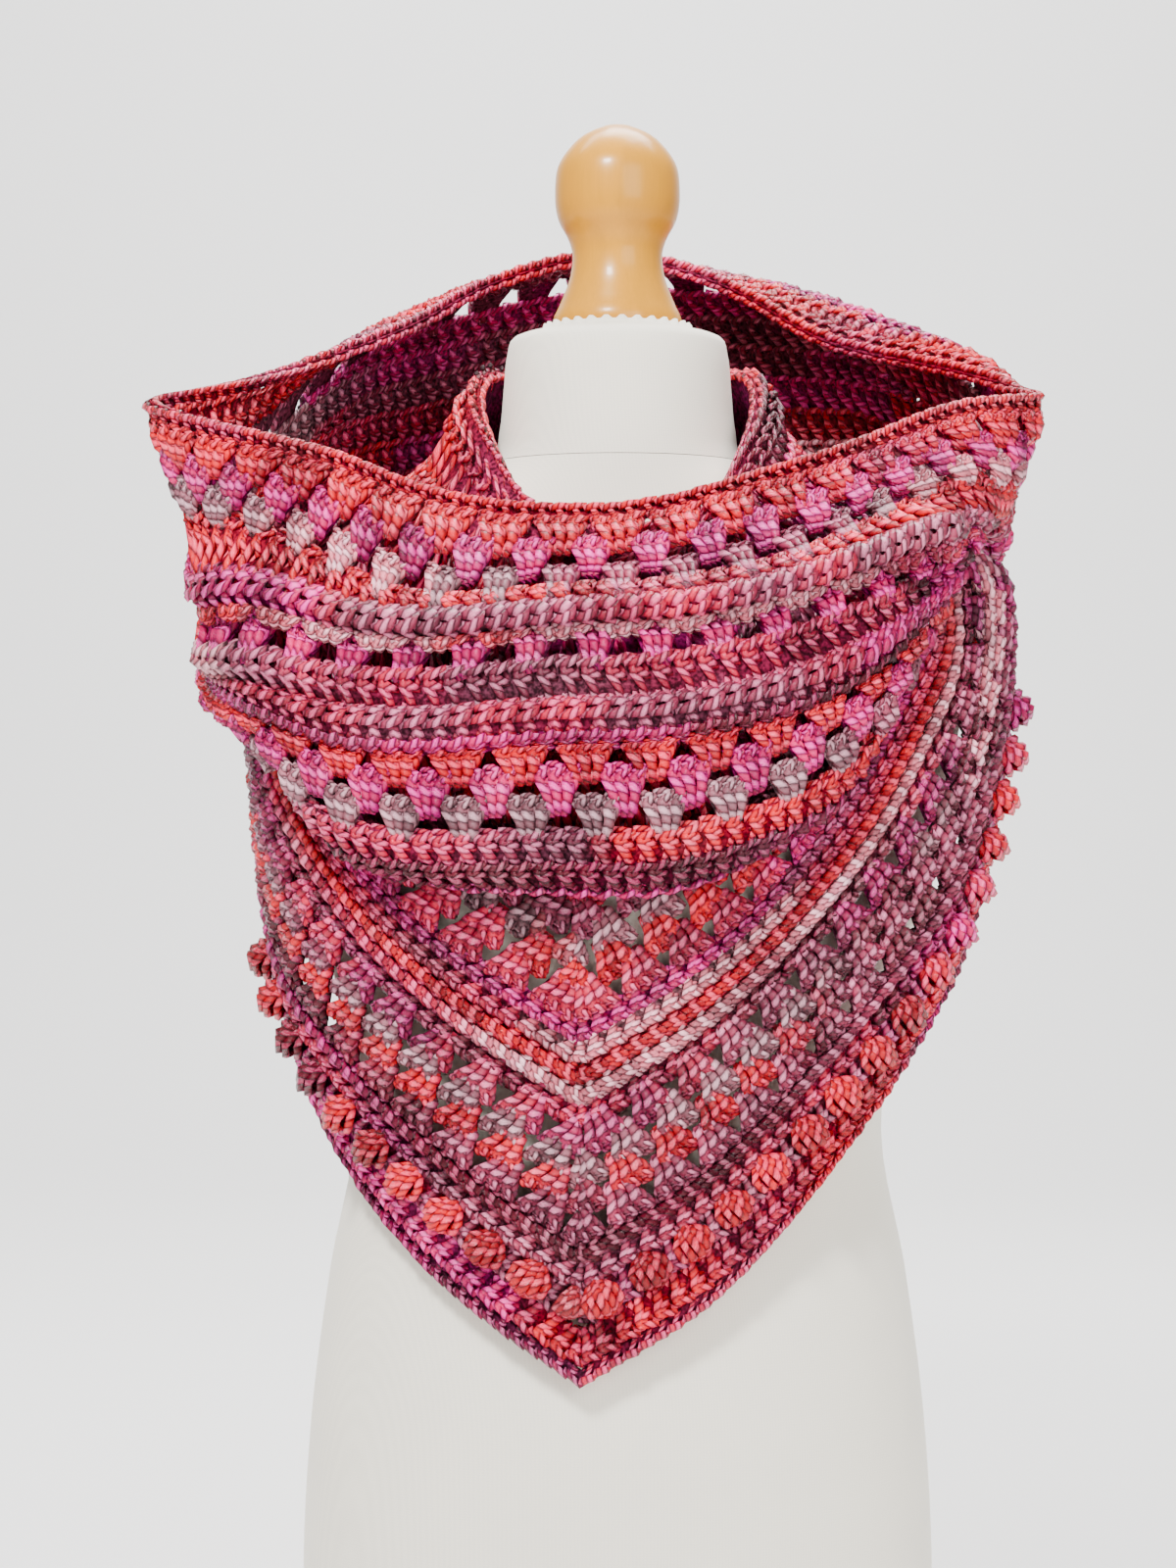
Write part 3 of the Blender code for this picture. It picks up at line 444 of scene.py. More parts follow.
class Sheet:
    """A surface kept as a net of points: columns go round and repeat, rows go along."""

    def __init__(self, points, period, length, outward):
        self.points = points
        self.period = period
        self.length = length
        across = np.roll(points, -1, axis=0) - np.roll(points, 1, axis=0)
        along = np.gradient(points, axis=1)
        normals = np.cross(across, along) * outward
        self.normals = normals / np.linalg.norm(normals, axis=2, keepdims=True)

    def sample(self, net, around, along):
        columns, rows = net.shape[:2]
        place_around = np.mod(around, self.period) / self.period * columns
        place_along = np.clip(along / self.length, 0, 1) * (rows - 1)
        i = np.floor(place_around).astype(int) % columns
        j = np.clip(np.floor(place_along).astype(int), 0, rows - 2)
        fi = (place_around - np.floor(place_around))[..., None]
        fj = (place_along - j)[..., None]
        k = (i + 1) % columns
        low = net[i, j] * (1 - fi) + net[k, j] * fi
        high = net[i, j + 1] * (1 - fi) + net[k, j + 1] * fi
        return low * (1 - fj) + high * fj

    def on(self, places):
        """Points of the surface at the given places."""
        return self.at(places[..., 0], places[..., 1], 0.0)

    def at(self, around, along, lift):
        around, along, lift = np.broadcast_arrays(around, along, lift)
        normal = self.sample(self.normals, around, along)
        normal = normal / np.linalg.norm(normal, axis=-1, keepdims=True)
        return self.sample(self.points, around, along) + normal * lift[..., None]


def mantle_sheet():
    """The mantle's surface; along is the length of the way up from its lowest level."""
    angles = np.arange(NET_AROUND) * 360.0 / NET_AROUND
    levels = np.linspace(HANG_SECTIONS[0][0], FORM_SECTIONS[-1][0] + MANTLE_SPARE, 4 * NET_ALONG)
    grid_angle, grid_level = np.meshgrid(angles, levels, indexing="ij")
    paths = place(grid_angle, mantle_radius(grid_angle, grid_level), grid_level)
    distance = walk(paths)
    length = distance[:, -1].min()
    wanted = np.linspace(0, length, 4 * NET_ALONG)
    return Sheet(resample(paths, distance, [wanted] * NET_AROUND), 360.0, length, 1)


def way_up(sheet, angle, height):
    """How far along the mantle's way up a height is reached, at each angle."""
    wanted = np.linspace(0, sheet.length, sheet.points.shape[1])
    found = []
    for one_angle, one_height in zip(np.ravel(angle), np.ravel(height)):
        levels = sheet.at(np.full(wanted.shape, one_angle), wanted, 0.0)[:, 2]
        found.append(np.interp(one_height, levels, wanted))
    return np.array(found).reshape(np.shape(angle))


def cowl_curves(angle):
    """Points of the cowl's upright sections at each angle, edge to lowest, and the seam's height."""
    known, *columns = np.array(COWL_SECTIONS, float).T
    values = [round_trip(known, values, 360.0, angle) for values in columns]
    corners = [place(angle, values[i], values[i + 1]) for i in range(0, 8, 2)]
    return corners, values[8]


def course_shares(angle, courses):
    """Share of the way from the face edge to the inner seam that each course has reached, at each angle."""
    known, *columns = np.array(FOLD_LINES, float).T
    lines = [round_trip(known, values, 360.0, angle) for values in columns]
    knots = np.array([0.0, *FOLD_LINE_COURSES, COWL_COURSE_COUNT])
    ends = (np.zeros(len(angle)), np.ones(len(angle)))
    shares = np.stack([ends[0], *lines, ends[1]], axis=1)
    return np.stack([gentle(knots, one, courses) for one in shares])


def fold_lift(angle, course):
    """How far the draped folds stand out from the cowl's plain surface."""
    total = np.zeros(np.broadcast(angle, course).shape)
    for crest, half_width, left_height, right_height, left, right, left_rise, right_rise in FOLDS:
        centre = (left + right) / 2
        turned = (angle - centre + 180.0) % 360.0 - 180.0 + centre
        height = left_height + (right_height - left_height) * np.clip((turned - left) / (right - left), 0, 1)
        fade = np.clip(np.minimum((turned - left) / left_rise, (right - turned) / right_rise), 0, 1)
        across = np.clip(np.abs(course - crest) / half_width, 0, 1)
        total += height * fade * fade * (3 - 2 * fade) * (0.5 + 0.5 * np.cos(np.pi * across))
    return total


def resample(path, distance, wanted):
    """Points at the wanted distances along each path."""
    return np.stack([
        np.stack([np.interp(wanted[i], distance[i], path[i, :, axis]) for axis in range(3)], axis=1)
        for i in range(len(path))
    ])


def curve_through(knots, steps):
    """Smooth path through each row's knots; the first and last knots only steer it."""
    reach = np.diff(knots, axis=1)
    gaps = np.linalg.norm(reach, axis=2, keepdims=True)
    rise = reach / gaps
    slopes = (gaps[:, :-1] * rise[:, 1:] + gaps[:, 1:] * rise[:, :-1]) / (gaps[:, :-1] + gaps[:, 1:])
    fine = np.linspace(0, 1, steps, endpoint=False)[None, :, None]
    pieces = [
        hermite(knots[:, k, None], knots[:, k + 1, None], slopes[:, k - 1, None], slopes[:, k, None],
                gaps[:, k, None], fine)
        for k in range(1, knots.shape[1] - 2)
    ]
    return np.concatenate(pieces + [knots[:, -2:-1]], axis=1)


def cowl_sheet(mantle):
    """Cowl and hood in one surface; along is counted in courses from the face edge to the inner seam."""
    turn = np.linspace(-180.0, 180.0, 2 * NET_AROUND, endpoint=False)
    corners, seam = cowl_curves(turn)
    rounding = sum(np.linalg.norm(np.roll(corners[k], -1, axis=0) - corners[k], axis=1) for k in (0, 2))
    distance = np.concatenate([[0], np.cumsum(rounding)])
    shares = np.arange(NET_AROUND) / NET_AROUND
    angle = np.interp(shares * distance[-1], distance, np.append(turn, 180.0))
    corners, seam = cowl_curves(angle)
    reached = way_up(mantle, angle, seam)
    inner = mantle.at(angle, reached, WALL + LAYER_GAP)
    tuck = mantle.at(angle, reached + SEAM_TUCK, WALL + LAYER_GAP)
    turn = inner + (corners[3] - inner) * np.array(TURN_SHARES)
    knots = np.stack([2 * corners[0] - corners[1]] + corners + [turn, inner, tuck], axis=1)
    path = curve_through(knots, CURVE_STEPS)
    distance = walk(path)
    courses = np.linspace(0, COWL_COURSE_COUNT, NET_ALONG)
    points = resample(path, distance, course_shares(angle, courses) * distance[:, -1:])
    plain = Sheet(points, 1.0, COWL_COURSE_COUNT, -1)
    lift = fold_lift(angle[:, None], courses[None, :])[..., None]
    points = points + lift * (plain.normals - np.array([0.0, 0.0, FOLD_DROOP]))
    return Sheet(points, 1.0, COWL_COURSE_COUNT, -1), angle


def first_course_depth(sheet, around):
    return 2 * np.linalg.norm(sheet.at(around, 0.5, 0.0) - sheet.at(around, 0.0, 0.0), axis=1)


def seam_heights(angle):
    return cowl_curves(angle)[1]


def above_edging(mantle, angles):
    """Where the worked courses start, above the hem edging."""
    return way_up(mantle, angles, hem_height(angles)) + EDGING_DEPTH + SEAM_GAP


def point_lines(mantle, angles, courses):
    """How far up the mantle each line of the point runs: evenly as far as the braid, then parallel to it."""
    rise = through(BRAID_RISE, angles)
    below = np.minimum(courses, BRAID_COURSE) / BRAID_COURSE
    above = np.maximum(courses - BRAID_COURSE, 0) * PANEL_DEPTH
    return above_edging(mantle, angles)[:, None] + rise[:, None] * below[None, :] + above[None, :]


# Yarn shades, linear
SHADES = {
    "coral": (0.92, 0.000, 0.068),
    "red": (0.88, 0.000, 0.056),
    "magenta": (0.84, 0.000, 0.310),
    "maroon": (0.27, 0.002, 0.052),
    "rose": (0.78, 0.036, 0.170),
    "mauve": (0.56, 0.115, 0.230),
    "grey": (0.52, 0.260, 0.310),
    "lilac": (0.86, 0.030, 0.380),
    "pale": (1.00, 0.420, 0.500),
    "plum": (0.46, 0.000, 0.160),
}

# Each kind of stitch in a cell ten wide and sixteen deep, in millimetres: its strands' radius
# and the points that they follow, as across the cell, down from its top, and out from the wall
NOMINAL_WIDTH = 10.0
NOMINAL_DEPTH = 16.0
TALL_STITCH = (
    (2.05, ((-2.8, 1.4, 1.2), (-2.9, 6.0, 2.3), (0.6, 11.4, 2.6), (2.7, 17.2, 0.4))),
    (2.05, ((2.8, 1.4, -0.6), (2.7, 6.4, -1.2), (-1.0, 11.2, -1.2), (-2.7, 17.2, 0.2))),
    (1.65, ((-3.8, 4.2, -0.2), (0.0, 5.9, 3.6), (3.9, 8.6, 0.0))),
    (1.75, ((-6.2, 2.9, 1.2), (-1.0, 3.0, 3.0), (4.4, 0.4, 1.6))),
    (1.75, ((-6.2, -1.3, -1.0), (-1.0, -1.2, -2.2), (4.4, 0.8, -0.9))),
    (1.60, ((-4.0, 10.2, -0.8), (0.0, 7.8, -3.4), (4.0, 5.6, -0.8))),
)
CLUSTER_STITCH = (
    (2.35, ((-2.4, 1.2, 1.8), (-2.8, 5.4, 4.6), (0.4, 10.2, 4.8), (2.2, 16.4, 0.8))),
    (2.35, ((2.6, 1.4, 0.4), (2.6, 6.0, 2.2), (-0.4, 10.8, 2.4), (-2.2, 16.6, 0.2))),
    (1.75, ((-3.6, 4.2, 0.8), (0.2, 5.8, 4.6), (3.6, 8.8, 1.0))),
    (1.70, ((-6.0, 2.6, 1.8), (-1.0, 2.5, 4.2), (4.6, 0.2, 2.6))),
    (1.70, ((-6.0, -1.2, 0.0), (-1.0, -1.2, 2.2), (4.6, 0.8, 1.6))),
)
RIDGE_STITCH = (
    (2.00, ((-2.8, 6.0, 0.4), (0.6, 10.5, 1.8), (2.7, 17.2, 0.4))),
    (2.00, ((2.8, 6.0, 0.0), (-0.6, 10.5, -0.8), (-2.7, 17.2, 0.2))),
    (1.75, ((-6.4, 7.6, 1.8), (-1.2, 8.2, 4.8), (4.8, 5.2, 3.4))),
    (1.75, ((-6.4, 2.4, 1.8), (-1.2, 2.8, 4.6), (4.8, 5.0, 3.6))),
    (1.60, ((-6.2, -0.6, 0.6), (-1.0, -0.8, 1.6), (4.4, -1.6, 1.0))),
)
BOBBLE_STITCH = (
    (2.1, ((-1.6, 0.8, 2.0), (-5.4, 5.0, 6.4), (-5.6, 10.6, 6.6), (-1.4, 15.6, 1.6))),
    (2.2, ((-0.8, 0.5, 2.6), (-2.7, 4.4, 10.8), (-2.7, 11.2, 11.0), (-0.6, 16.0, 2.2))),
    (2.2, ((0.1, 0.4, 3.0), (0.2, 4.2, 12.8), (0.0, 11.6, 12.8), (0.1, 16.2, 2.6))),
    (2.2, ((0.8, 0.5, 2.6), (2.9, 4.4, 10.8), (2.7, 11.2, 11.0), (0.6, 16.0, 2.2))),
    (2.1, ((1.6, 0.8, 2.0), (5.6, 5.0, 6.4), (5.4, 10.6, 6.6), (1.4, 15.6, 1.6))),
)
EDGE_STITCH = (
    (1.60, ((-2.2, 3.0, 1.8), (1.6, 16.0, 1.6))),
    (1.60, ((2.2, 3.0, -1.8), (-1.6, 16.0, -1.6))),
    (1.95, ((-6.4, 6.4, 2.0), (-0.6, 4.4, 3.0), (5.0, 2.2, 1.6))),
    (1.95, ((-6.4, 3.4, -2.2), (-0.6, 3.6, -2.6), (5.0, 3.0, -1.0))),
)
STITCHES = {"d": TALL_STITCH, "c": CLUSTER_STITCH, "r": RIDGE_STITCH}
STRAND_SIDES = 5
CLUSTER_SPREAD = 0.46
CLUSTER_REACH = 0.40

# How far single stitches stray outwards, and across and down their cells
TUFT = 0.0004
JOG = 0.05

# Dye along a course: how far its lengths stray, how long each holds and blends, how light it is
# and how that varies, and how much of it fades to pale
DYE_SWAY = 0.21
DYE_HOLD = 0.3
DYE_BLEND = 0.4
DYE_LIGHT = 0.88
LIGHT_DRIFT = 0.26
LIGHT_LUCK = 0.18
PALE_SHARE = 0.18


def strand_net(radius, points):
    """Rings of one strand: its centres, the way out from them to each corner, quads and texture places."""
    points = np.array(points, float)
    ahead = np.gradient(points, axis=0)
    ahead /= np.linalg.norm(ahead, axis=1, keepdims=True)
    side = np.cross(ahead, (0.0, 0.3, 1.0))
    side /= np.linalg.norm(side, axis=1, keepdims=True)
    up = np.cross(side, ahead)
    turns = np.arange(STRAND_SIDES) * 2 * np.pi / STRAND_SIDES
    turns = turns[None, :, None]
    away = radius * (np.cos(turns) * side[:, None] + np.sin(turns) * up[:, None])
    reach = np.concatenate([[0.0], np.cumsum(np.linalg.norm(np.diff(points, axis=0), axis=1))])
    ring, corner = np.meshgrid(np.arange(len(points) - 1), np.arange(STRAND_SIDES), indexing="ij")
    low, after = ring * STRAND_SIDES, (corner + 1) % STRAND_SIDES
    high = low + STRAND_SIDES
    faces = np.stack([low + corner, low + after, high + after, high + corner], axis=-1)
    left, right = corner / STRAND_SIDES, (corner + 1) / STRAND_SIDES
    start, end = reach[ring], reach[ring + 1]
    places = np.stack([left, start, right, start, right, end, left, end], axis=-1)
    centres = np.repeat(points, STRAND_SIDES, axis=0)
    return centres, away.reshape(-1, 3), faces.reshape(-1, 4), places.reshape(-1, 2)


@functools.cache
def stitch_net(strands):
    """One whole stitch: its strands' centres, the ways out from them, quads, end caps and texture places."""
    parts = []
    start = 0
    ring = np.arange(STRAND_SIDES)
    for radius, points in strands:
        middle, away, quads, spots = strand_net(radius, points)
        caps = start + np.array([ring[::-1], len(middle) - STRAND_SIDES + ring])
        parts.append((middle, away, start + quads, caps, spots))
        start += len(middle)
    return [np.concatenate(part) for part in zip(*parts)]


def mix(first, second, share):
    return np.asarray(first) * (1 - share) + np.asarray(second) * share


def pairs(first, second):
    """Two rows of numbers side by side."""
    return np.stack([first, second], axis=1)


def drift(seed, count, span):
    """Smooth random values from -1 to 1, changing over about span steps."""
    knots = np.random.default_rng(seed).uniform(-1, 1, int(count / span) + 4)
    place = np.arange(count) / span
    left = place.astype(int)
    share = place - left
    share = share * share * (3 - 2 * share)
    return knots[left] * (1 - share) + knots[left + 1] * share


def shade(name):
    return tuple(getattr(settings(), name))


def dyes_along(names, count, seed):
    """Colour of each stitch in a course, from left to right, in uneven lengths of dyed yarn."""
    stops = np.array([shade(name) for name in names.split()])
    last = len(stops) - 1
    place = np.linspace(0, last, count) + DYE_SWAY * last * drift(seed, count, 6)
    place = np.clip(place, 0, last - 0.001)
    left = place.astype(int)
    share = np.clip((place - left - DYE_HOLD) / DYE_BLEND, 0, 1)[:, None]
    colours = stops[left] * (1 - share) + stops[left + 1] * share
    luck = np.random.default_rng(seed + 2)
    light = DYE_LIGHT + LIGHT_DRIFT * drift(seed + 1, count, 2) + LIGHT_LUCK * luck.uniform(-1, 1, count)
    pale = PALE_SHARE * np.clip(drift(seed + 3, count, 4), 0, 1)[:, None] ** 2
    colours = mix(colours, shade("pale"), pale)
    return np.clip(colours * light[:, None], 0, 1)


def spread(tops, bases):
    """Cells between two lines of places: corners in order round the cell."""
    return np.stack([tops[:-1], tops[1:], bases[1:], bases[:-1]], axis=1)


def clustered(tops, bases, head, shifted):
    """Cells of groups of three stitches, spread at their tops and drawn together at their feet.

    The feet reach down between the groups of the course below, which is shifted by half a group.
    """
    groups = (len(tops) - 1) // 3
    steps = np.arange(len(tops))
    cells = []
    for group in range(groups + shifted):
        middle = 3 * (group + 0.5 * (1 - shifted))
        heads, feet = (np.clip(middle + 3 * width * np.array([-0.5, -1 / 6, 1 / 6, 0.5]), 0, 3 * groups)
                       for width in (head, head - CLUSTER_SPREAD))
        top, high, low = (pairs(*(np.interp(where, steps, values) for values in line.T))
                          for where, line in ((heads, tops), (feet, tops), (feet, bases)))
        foot = low + (low - high) * CLUSTER_REACH
        cells += [[top[k], top[k + 1], foot[k + 1], foot[k]] for k in range(3) if heads[k + 1] > heads[k]]
    return np.array(cells)


class Course:
    """Stitches of one kind in a line of cells."""

    def __init__(self, strands, cells, dyes, lift=0.0):
        self.strands = strands
        self.cells = np.asarray(cells, float)
        self.dyes = dyes
        self.lift = lift

    def kept(self, stay):
        """A list of the course with only the stitches that stay, empty where none does."""
        return [Course(self.strands, self.cells[stay], self.dyes[stay], self.lift)] if stay.any() else []


def true_size(sheet, cells):
    """Widths of each cell along its top and its base, and its depth, in millimetres."""
    corners = sheet.on(cells) * 1000
    wide = [np.linalg.norm(corners[:, a] - corners[:, b], axis=1) for a, b in ((1, 0), (2, 3))]
    deep = np.linalg.norm(corners[:, :2].mean(axis=1) - corners[:, 2:].mean(axis=1), axis=1)
    return [np.maximum(size, LEAST_SIZE)[:, None] for size in (*wide, deep)]


def crochet(name, sheet, courses, seed):
    """Lays every stitch of the courses over the sheet and joins them into one mesh.

    A stitch's strands follow its cell, however the cell is stretched, and keep their own thickness.
    """
    parts = []
    start = 0
    luck = np.random.default_rng(seed)
    for course in (course for course in courses if course.strands):
        middle, away, faces, ends, spots = stitch_net(course.strands)
        cells = course.cells[:, None]
        count = len(cells)
        jog = luck.uniform(-JOG, JOG, (count, 2))
        wide_top, wide_base, deep = true_size(sheet, course.cells)
        level = middle[:, 1] / NOMINAL_DEPTH
        wide = mix(wide_top, wide_base, np.clip(level, 0, 1))
        across = (middle[:, 0] / NOMINAL_WIDTH + 0.5 + away[:, 0] / wide + jog[:, :1])[..., None]
        down = (level + away[:, 1] / deep + 0.5 * jog[:, 1:])[..., None]
        tops = mix(cells[:, :, 0], cells[:, :, 1], across)
        bases = mix(cells[:, :, 3], cells[:, :, 2], across)
        place = mix(tops, bases, down)
        out = (middle[:, 2] + away[:, 2]) / 1000 + course.lift + luck.uniform(-TUFT, TUFT, (count, 1))
        offsets = start + np.arange(count)[:, None, None] * len(middle)
        parts.append((
            sheet.at(place[..., 0], place[..., 1], out).reshape(-1, 3),
            (faces[None] + offsets).reshape(-1, 4),
            (ends[None] + offsets).reshape(-1, STRAND_SIDES),
            np.tile(spots, (count, 1)),
            np.repeat(course.dyes, len(middle), axis=0),
        ))
        start += count * len(middle)
    return joined(name, *map(np.concatenate, zip(*parts)))


def joined(name, points, quads, caps, places, dyes):
    """A mesh of quads and end caps, with its texture places and the dye of each corner."""
    mesh = bpy.data.meshes.new(name)
    mesh.vertices.add(len(points))
    mesh.vertices.foreach_set("co", points.astype(np.float32).ravel())
    loops = np.concatenate([quads.ravel(), caps.ravel()]).astype(np.int32)
    sizes = np.concatenate([np.full(len(quads), 4), np.full(len(caps), STRAND_SIDES)])
    mesh.loops.add(len(loops))
    mesh.loops.foreach_set("vertex_index", loops)
    mesh.polygons.add(len(sizes))
    mesh.polygons.foreach_set("loop_start", np.concatenate([[0], np.cumsum(sizes)[:-1]]).astype(np.int32))
    mesh.update(calc_edges=True)
    texture = mesh.uv_layers.new(name="along_yarn")
    spots = np.concatenate([places, np.zeros((caps.size, 2))])
    texture.data.foreach_set("uv", spots.astype(np.float32).ravel())
    dye = mesh.color_attributes.new(name="dye", type="FLOAT_COLOR", domain="POINT")
    solid_dyes = np.concatenate([dyes, np.ones((len(dyes), 1))], axis=1)
    dye.data.foreach_set("color", solid_dyes.astype(np.float32).ravel())
    mesh.shade_smooth()
    mesh.validate()
    return place_piece(name, mesh)


def linked(name, data):
    thing = bpy.data.objects.new(name, data)
    bpy.context.scene.collection.objects.link(thing)
    return thing


def place_piece(name, mesh):
    piece = linked(name, mesh)
    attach(piece, "root")
    return piece


def finished(name, shell):
    """The worked mesh as smooth mesh data."""
    mesh = bpy.data.meshes.new(name)
    shell.to_mesh(mesh)
    shell.free()
    mesh.shade_smooth()
    return mesh


def surfaced(piece, material):
    piece.data.materials.append(material)
    return piece


def backing(name, sheet, courses):
    """The cloth behind the stitches: one thin wall over all their cells, open where they leave gaps, dark
    with painted shade.
    """
    shell = bmesh.new()
    dye = shell.verts.layers.float_color.new("dye")
    for course in courses:
        for cell, colour in zip(course.cells, course.dyes):
            rows = []
            for down in (0.0, 0.5, 1.0):
                ends = np.array([mix(cell[0], cell[3], down), mix(cell[1], cell[2], down)])
                rows.append([shell.verts.new(spot) for spot in sheet.at(*ends.T, course.lift)])
                for corner in rows[-1]:
                    corner[dye] = (*colour, 1.0)
            for low, high in zip(rows, rows[1:]):
                shell.faces.new((low[0], low[1], high[1], high[0]))
    bmesh.ops.remove_doubles(shell, verts=shell.verts, dist=WELD)
    piece = place_piece(name, finished(name, shell))
    wall = piece.modifiers.new("wall", "SOLIDIFY")
    wall.thickness = BACKING
    wall.offset = 0.0
    return piece


@functools.cache
def surfaces():
    """The mantle's surface, the cowl's, and the cowl's angle at each share of the way round."""
    mantle = mantle_sheet()
    return mantle, *cowl_sheet(mantle)


def line_length(sheet, places):
    return walk(sheet.on(places)[None])[0][-1]


def even_line(sheet, places, count):
    """Evenly spaced places on a line over a sheet, by true length."""
    distance = walk(sheet.on(places)[None])[0]
    wanted = np.linspace(0, distance[-1], count + 1)
    return pairs(*(np.interp(wanted, distance, values) for values in places.T))


def straight_down(tops, line):
    """For each place, the one at the same angle on another line."""
    return pairs(tops[:, 0], np.interp(tops[:, 0], *line.T))


def square_down(sheet, tops, line):
    """For each place, the nearest place on another line, so that stitches stand square to their course."""
    reach = sheet.on(line)[None] - sheet.on(tops)[:, None]
    nearest = np.argmin(np.linalg.norm(reach, axis=2), axis=1)
    return line[np.maximum.accumulate(nearest)]


def stitch_course(sheet, kind, top, base, dyes, seed, head=0.0, shifted=0, groups=1, square=False):
    """The stitches between two lines: plain, ridged, in clusters or with bobbles."""
    if kind == "b":
        ends = even_line(sheet, top, round(line_length(sheet, top) / BOBBLE_PITCH))
        between = mix(ends[:-1], ends[1:], BOBBLE_SHARE)
        tops = np.concatenate([np.stack([ends[:-1], between], axis=1).reshape(-1, 2), ends[-1:]])
    elif kind == "c":
        tops = even_line(sheet, top, 3 * max(1, groups))
    else:
        tops = even_line(sheet, top, max(2, round(line_length(sheet, top) / settings().stitch_width)))
    bases = square_down(sheet, tops, base) if square else straight_down(tops, base)
    cells = clustered(tops, bases, head, shifted) if kind == "c" else spread(tops, bases)
    colours = dyes_along(dyes, len(cells), seed)
    if kind == "b":
        between = dyes_along(BETWEEN_BOBBLES, len(cells), seed + 5)
        return [Course(BOBBLE_STITCH, cells[0::2], colours[0::2]),
                Course(TALL_STITCH, cells[1::2], between[1::2])]
    return [Course(STITCHES[kind], cells, colours)]


def cowl_courses(start, stop, rows, seed):
    """Rows of the cowl between two shares of the way round, from the face edge down.

    Where the cloth is too deep for its rows, each of them has a second row of stitches below it.
    The upper band is drawn in at the sides of the front.
    """
    cowl, angles = surfaces()[1:]
    around = np.linspace(start, stop, LINE_STEPS)
    first = (EDGING_DEPTH + EDGE_GAP) / first_course_depth(cowl, around)
    turned = np.interp(around % 1.0, np.arange(NET_AROUND) / NET_AROUND, angles)
    turned = np.abs((turned + 180.0) % 360.0 - 180.0)
    drawn_in = np.clip((turned - BAND_TURN) / BAND_TURN, 0, 1) * (rows is COWL_ROWS)

    def line(course):
        course = course + (np.interp(course, *BAND_SQUEEZE) - course) * drawn_in
        return pairs(around, first + (COWL_COURSE_COUNT - first) * course / COWL_COURSE_COUNT)

    length = np.mean([line_length(cowl, line(course)) for course in GAUGE_COURSES])
    groups = round(length / settings().cluster_pitch)
    spots = np.stack([cowl.on(line(course)) for course in range(COWL_COURSE_COUNT + 1)], axis=1)
    depth = walk(spots)[:, -1] / COWL_COURSE_COUNT
    upper = np.interp(depth, (ROW_DEPTH, ROW_DEPTH + ROW_SPARE), (1.0, 0.5))
    courses = []
    for number, (kind, top, base, dyes, *cluster) in enumerate(rows):
        middle_line = line(top + (base - top) * upper)
        courses += stitch_course(cowl, kind, line(top), middle_line, dyes, seed + 10 * number, *cluster,
                                 groups=groups)
        if upper.min() < 1:
            turned_dyes = " ".join(reversed(dyes.split()))
            extra = stitch_course(cowl, "d", middle_line, line(base), turned_dyes, seed + 10 * number + 5)
            courses += deep_enough(cowl, extra)
    return courses


def deep_enough(sheet, courses):
    """The stitches that have room between their two lines."""
    kept = []
    for course in courses:
        reach = sheet.on(course.cells[:, 3]) - sheet.on(course.cells[:, 0])
        kept += course.kept(np.linalg.norm(reach, axis=1) > LEAST_STITCH)
    return kept


def below(courses, angles, limit):
    """The stitches whose lower ends lie below a line over the mantle."""
    kept = []
    for course in courses:
        turn, height = course.cells[:, :2].mean(axis=1).T
        kept += course.kept(height < np.interp(turn, angles, limit))
    return kept


def between(angles, low, high, shares):
    """Neighbouring lines over the mantle, at the given shares of the way from one height to another."""
    lines = [pairs(angles, low + (high - low) * share) for share in shares]
    return zip(lines, lines[1:])


def seam_way(angles):
    """How far up the mantle its seam with the cowl runs."""
    return way_up(surfaces()[0], angles, seam_heights(angles))


def crest_way(angles):
    return way_up(surfaces()[0], angles, crest_height(angles))


def covered(angles, count, seed):
    """The plain cloth from the seam with the cowl up to the crest, drawn only as the backing wall, dark with
    painted shade.
    """
    turns = np.linspace(angles[0], angles[-1], count + 1)
    colours = dyes_along(COVERED_DYES, count, seed)
    return [Course(None, spread(*lines), colours)
            for lines in between(turns, seam_way(turns), crest_way(turns), COVERED_SHARES)]


def point_courses(angles, seed):
    """Rows of the point, parallel to its braid, as far as they show below the cowl."""
    mantle = surfaces()[0]
    steps = np.linspace(0, POINT_COURSE_COUNT + 1, 4 * POINT_COURSE_COUNT + 5)
    heights = point_lines(mantle, angles, steps)

    def line(course):
        return pairs(angles, [np.interp(course, steps, column_heights) for column_heights in heights])

    courses = []
    for number, (kind, top, base, dyes, *cluster) in enumerate(POINT_ROWS):
        groups = round(line_length(mantle, line(top)) / POINT_PITCH)
        courses += stitch_course(mantle, kind, line(top), line(base), dyes, seed + 10 * number, *cluster,
                                 groups=groups, square=True)
    return below(courses, angles, seam_way(angles) + HIDDEN_RISE) + covered(angles, 60, seed)


def plain_courses(kinds, angles, low, high, dyes, seed, square):
    """Even rows over the mantle from one height to another."""
    lines = between(angles, low, high, np.arange(len(dyes) + 1) / len(dyes))
    courses = []
    for number, (kind, (top, base), names) in enumerate(zip(kinds, lines, dyes)):
        courses += stitch_course(surfaces()[0], kind, top, base, names, seed + 10 * number, square=square)
    return courses


def back_courses(angles, seed):
    """Plain rows of the mantle's back, from its hem edging up to the seam."""
    hem = above_edging(surfaces()[0], angles)
    seam = seam_way(angles) + HIDDEN_RISE
    return plain_courses("dddddd", angles, hem, seam, BACK_ROW_DYES, seed, True) + covered(angles, 40, seed)


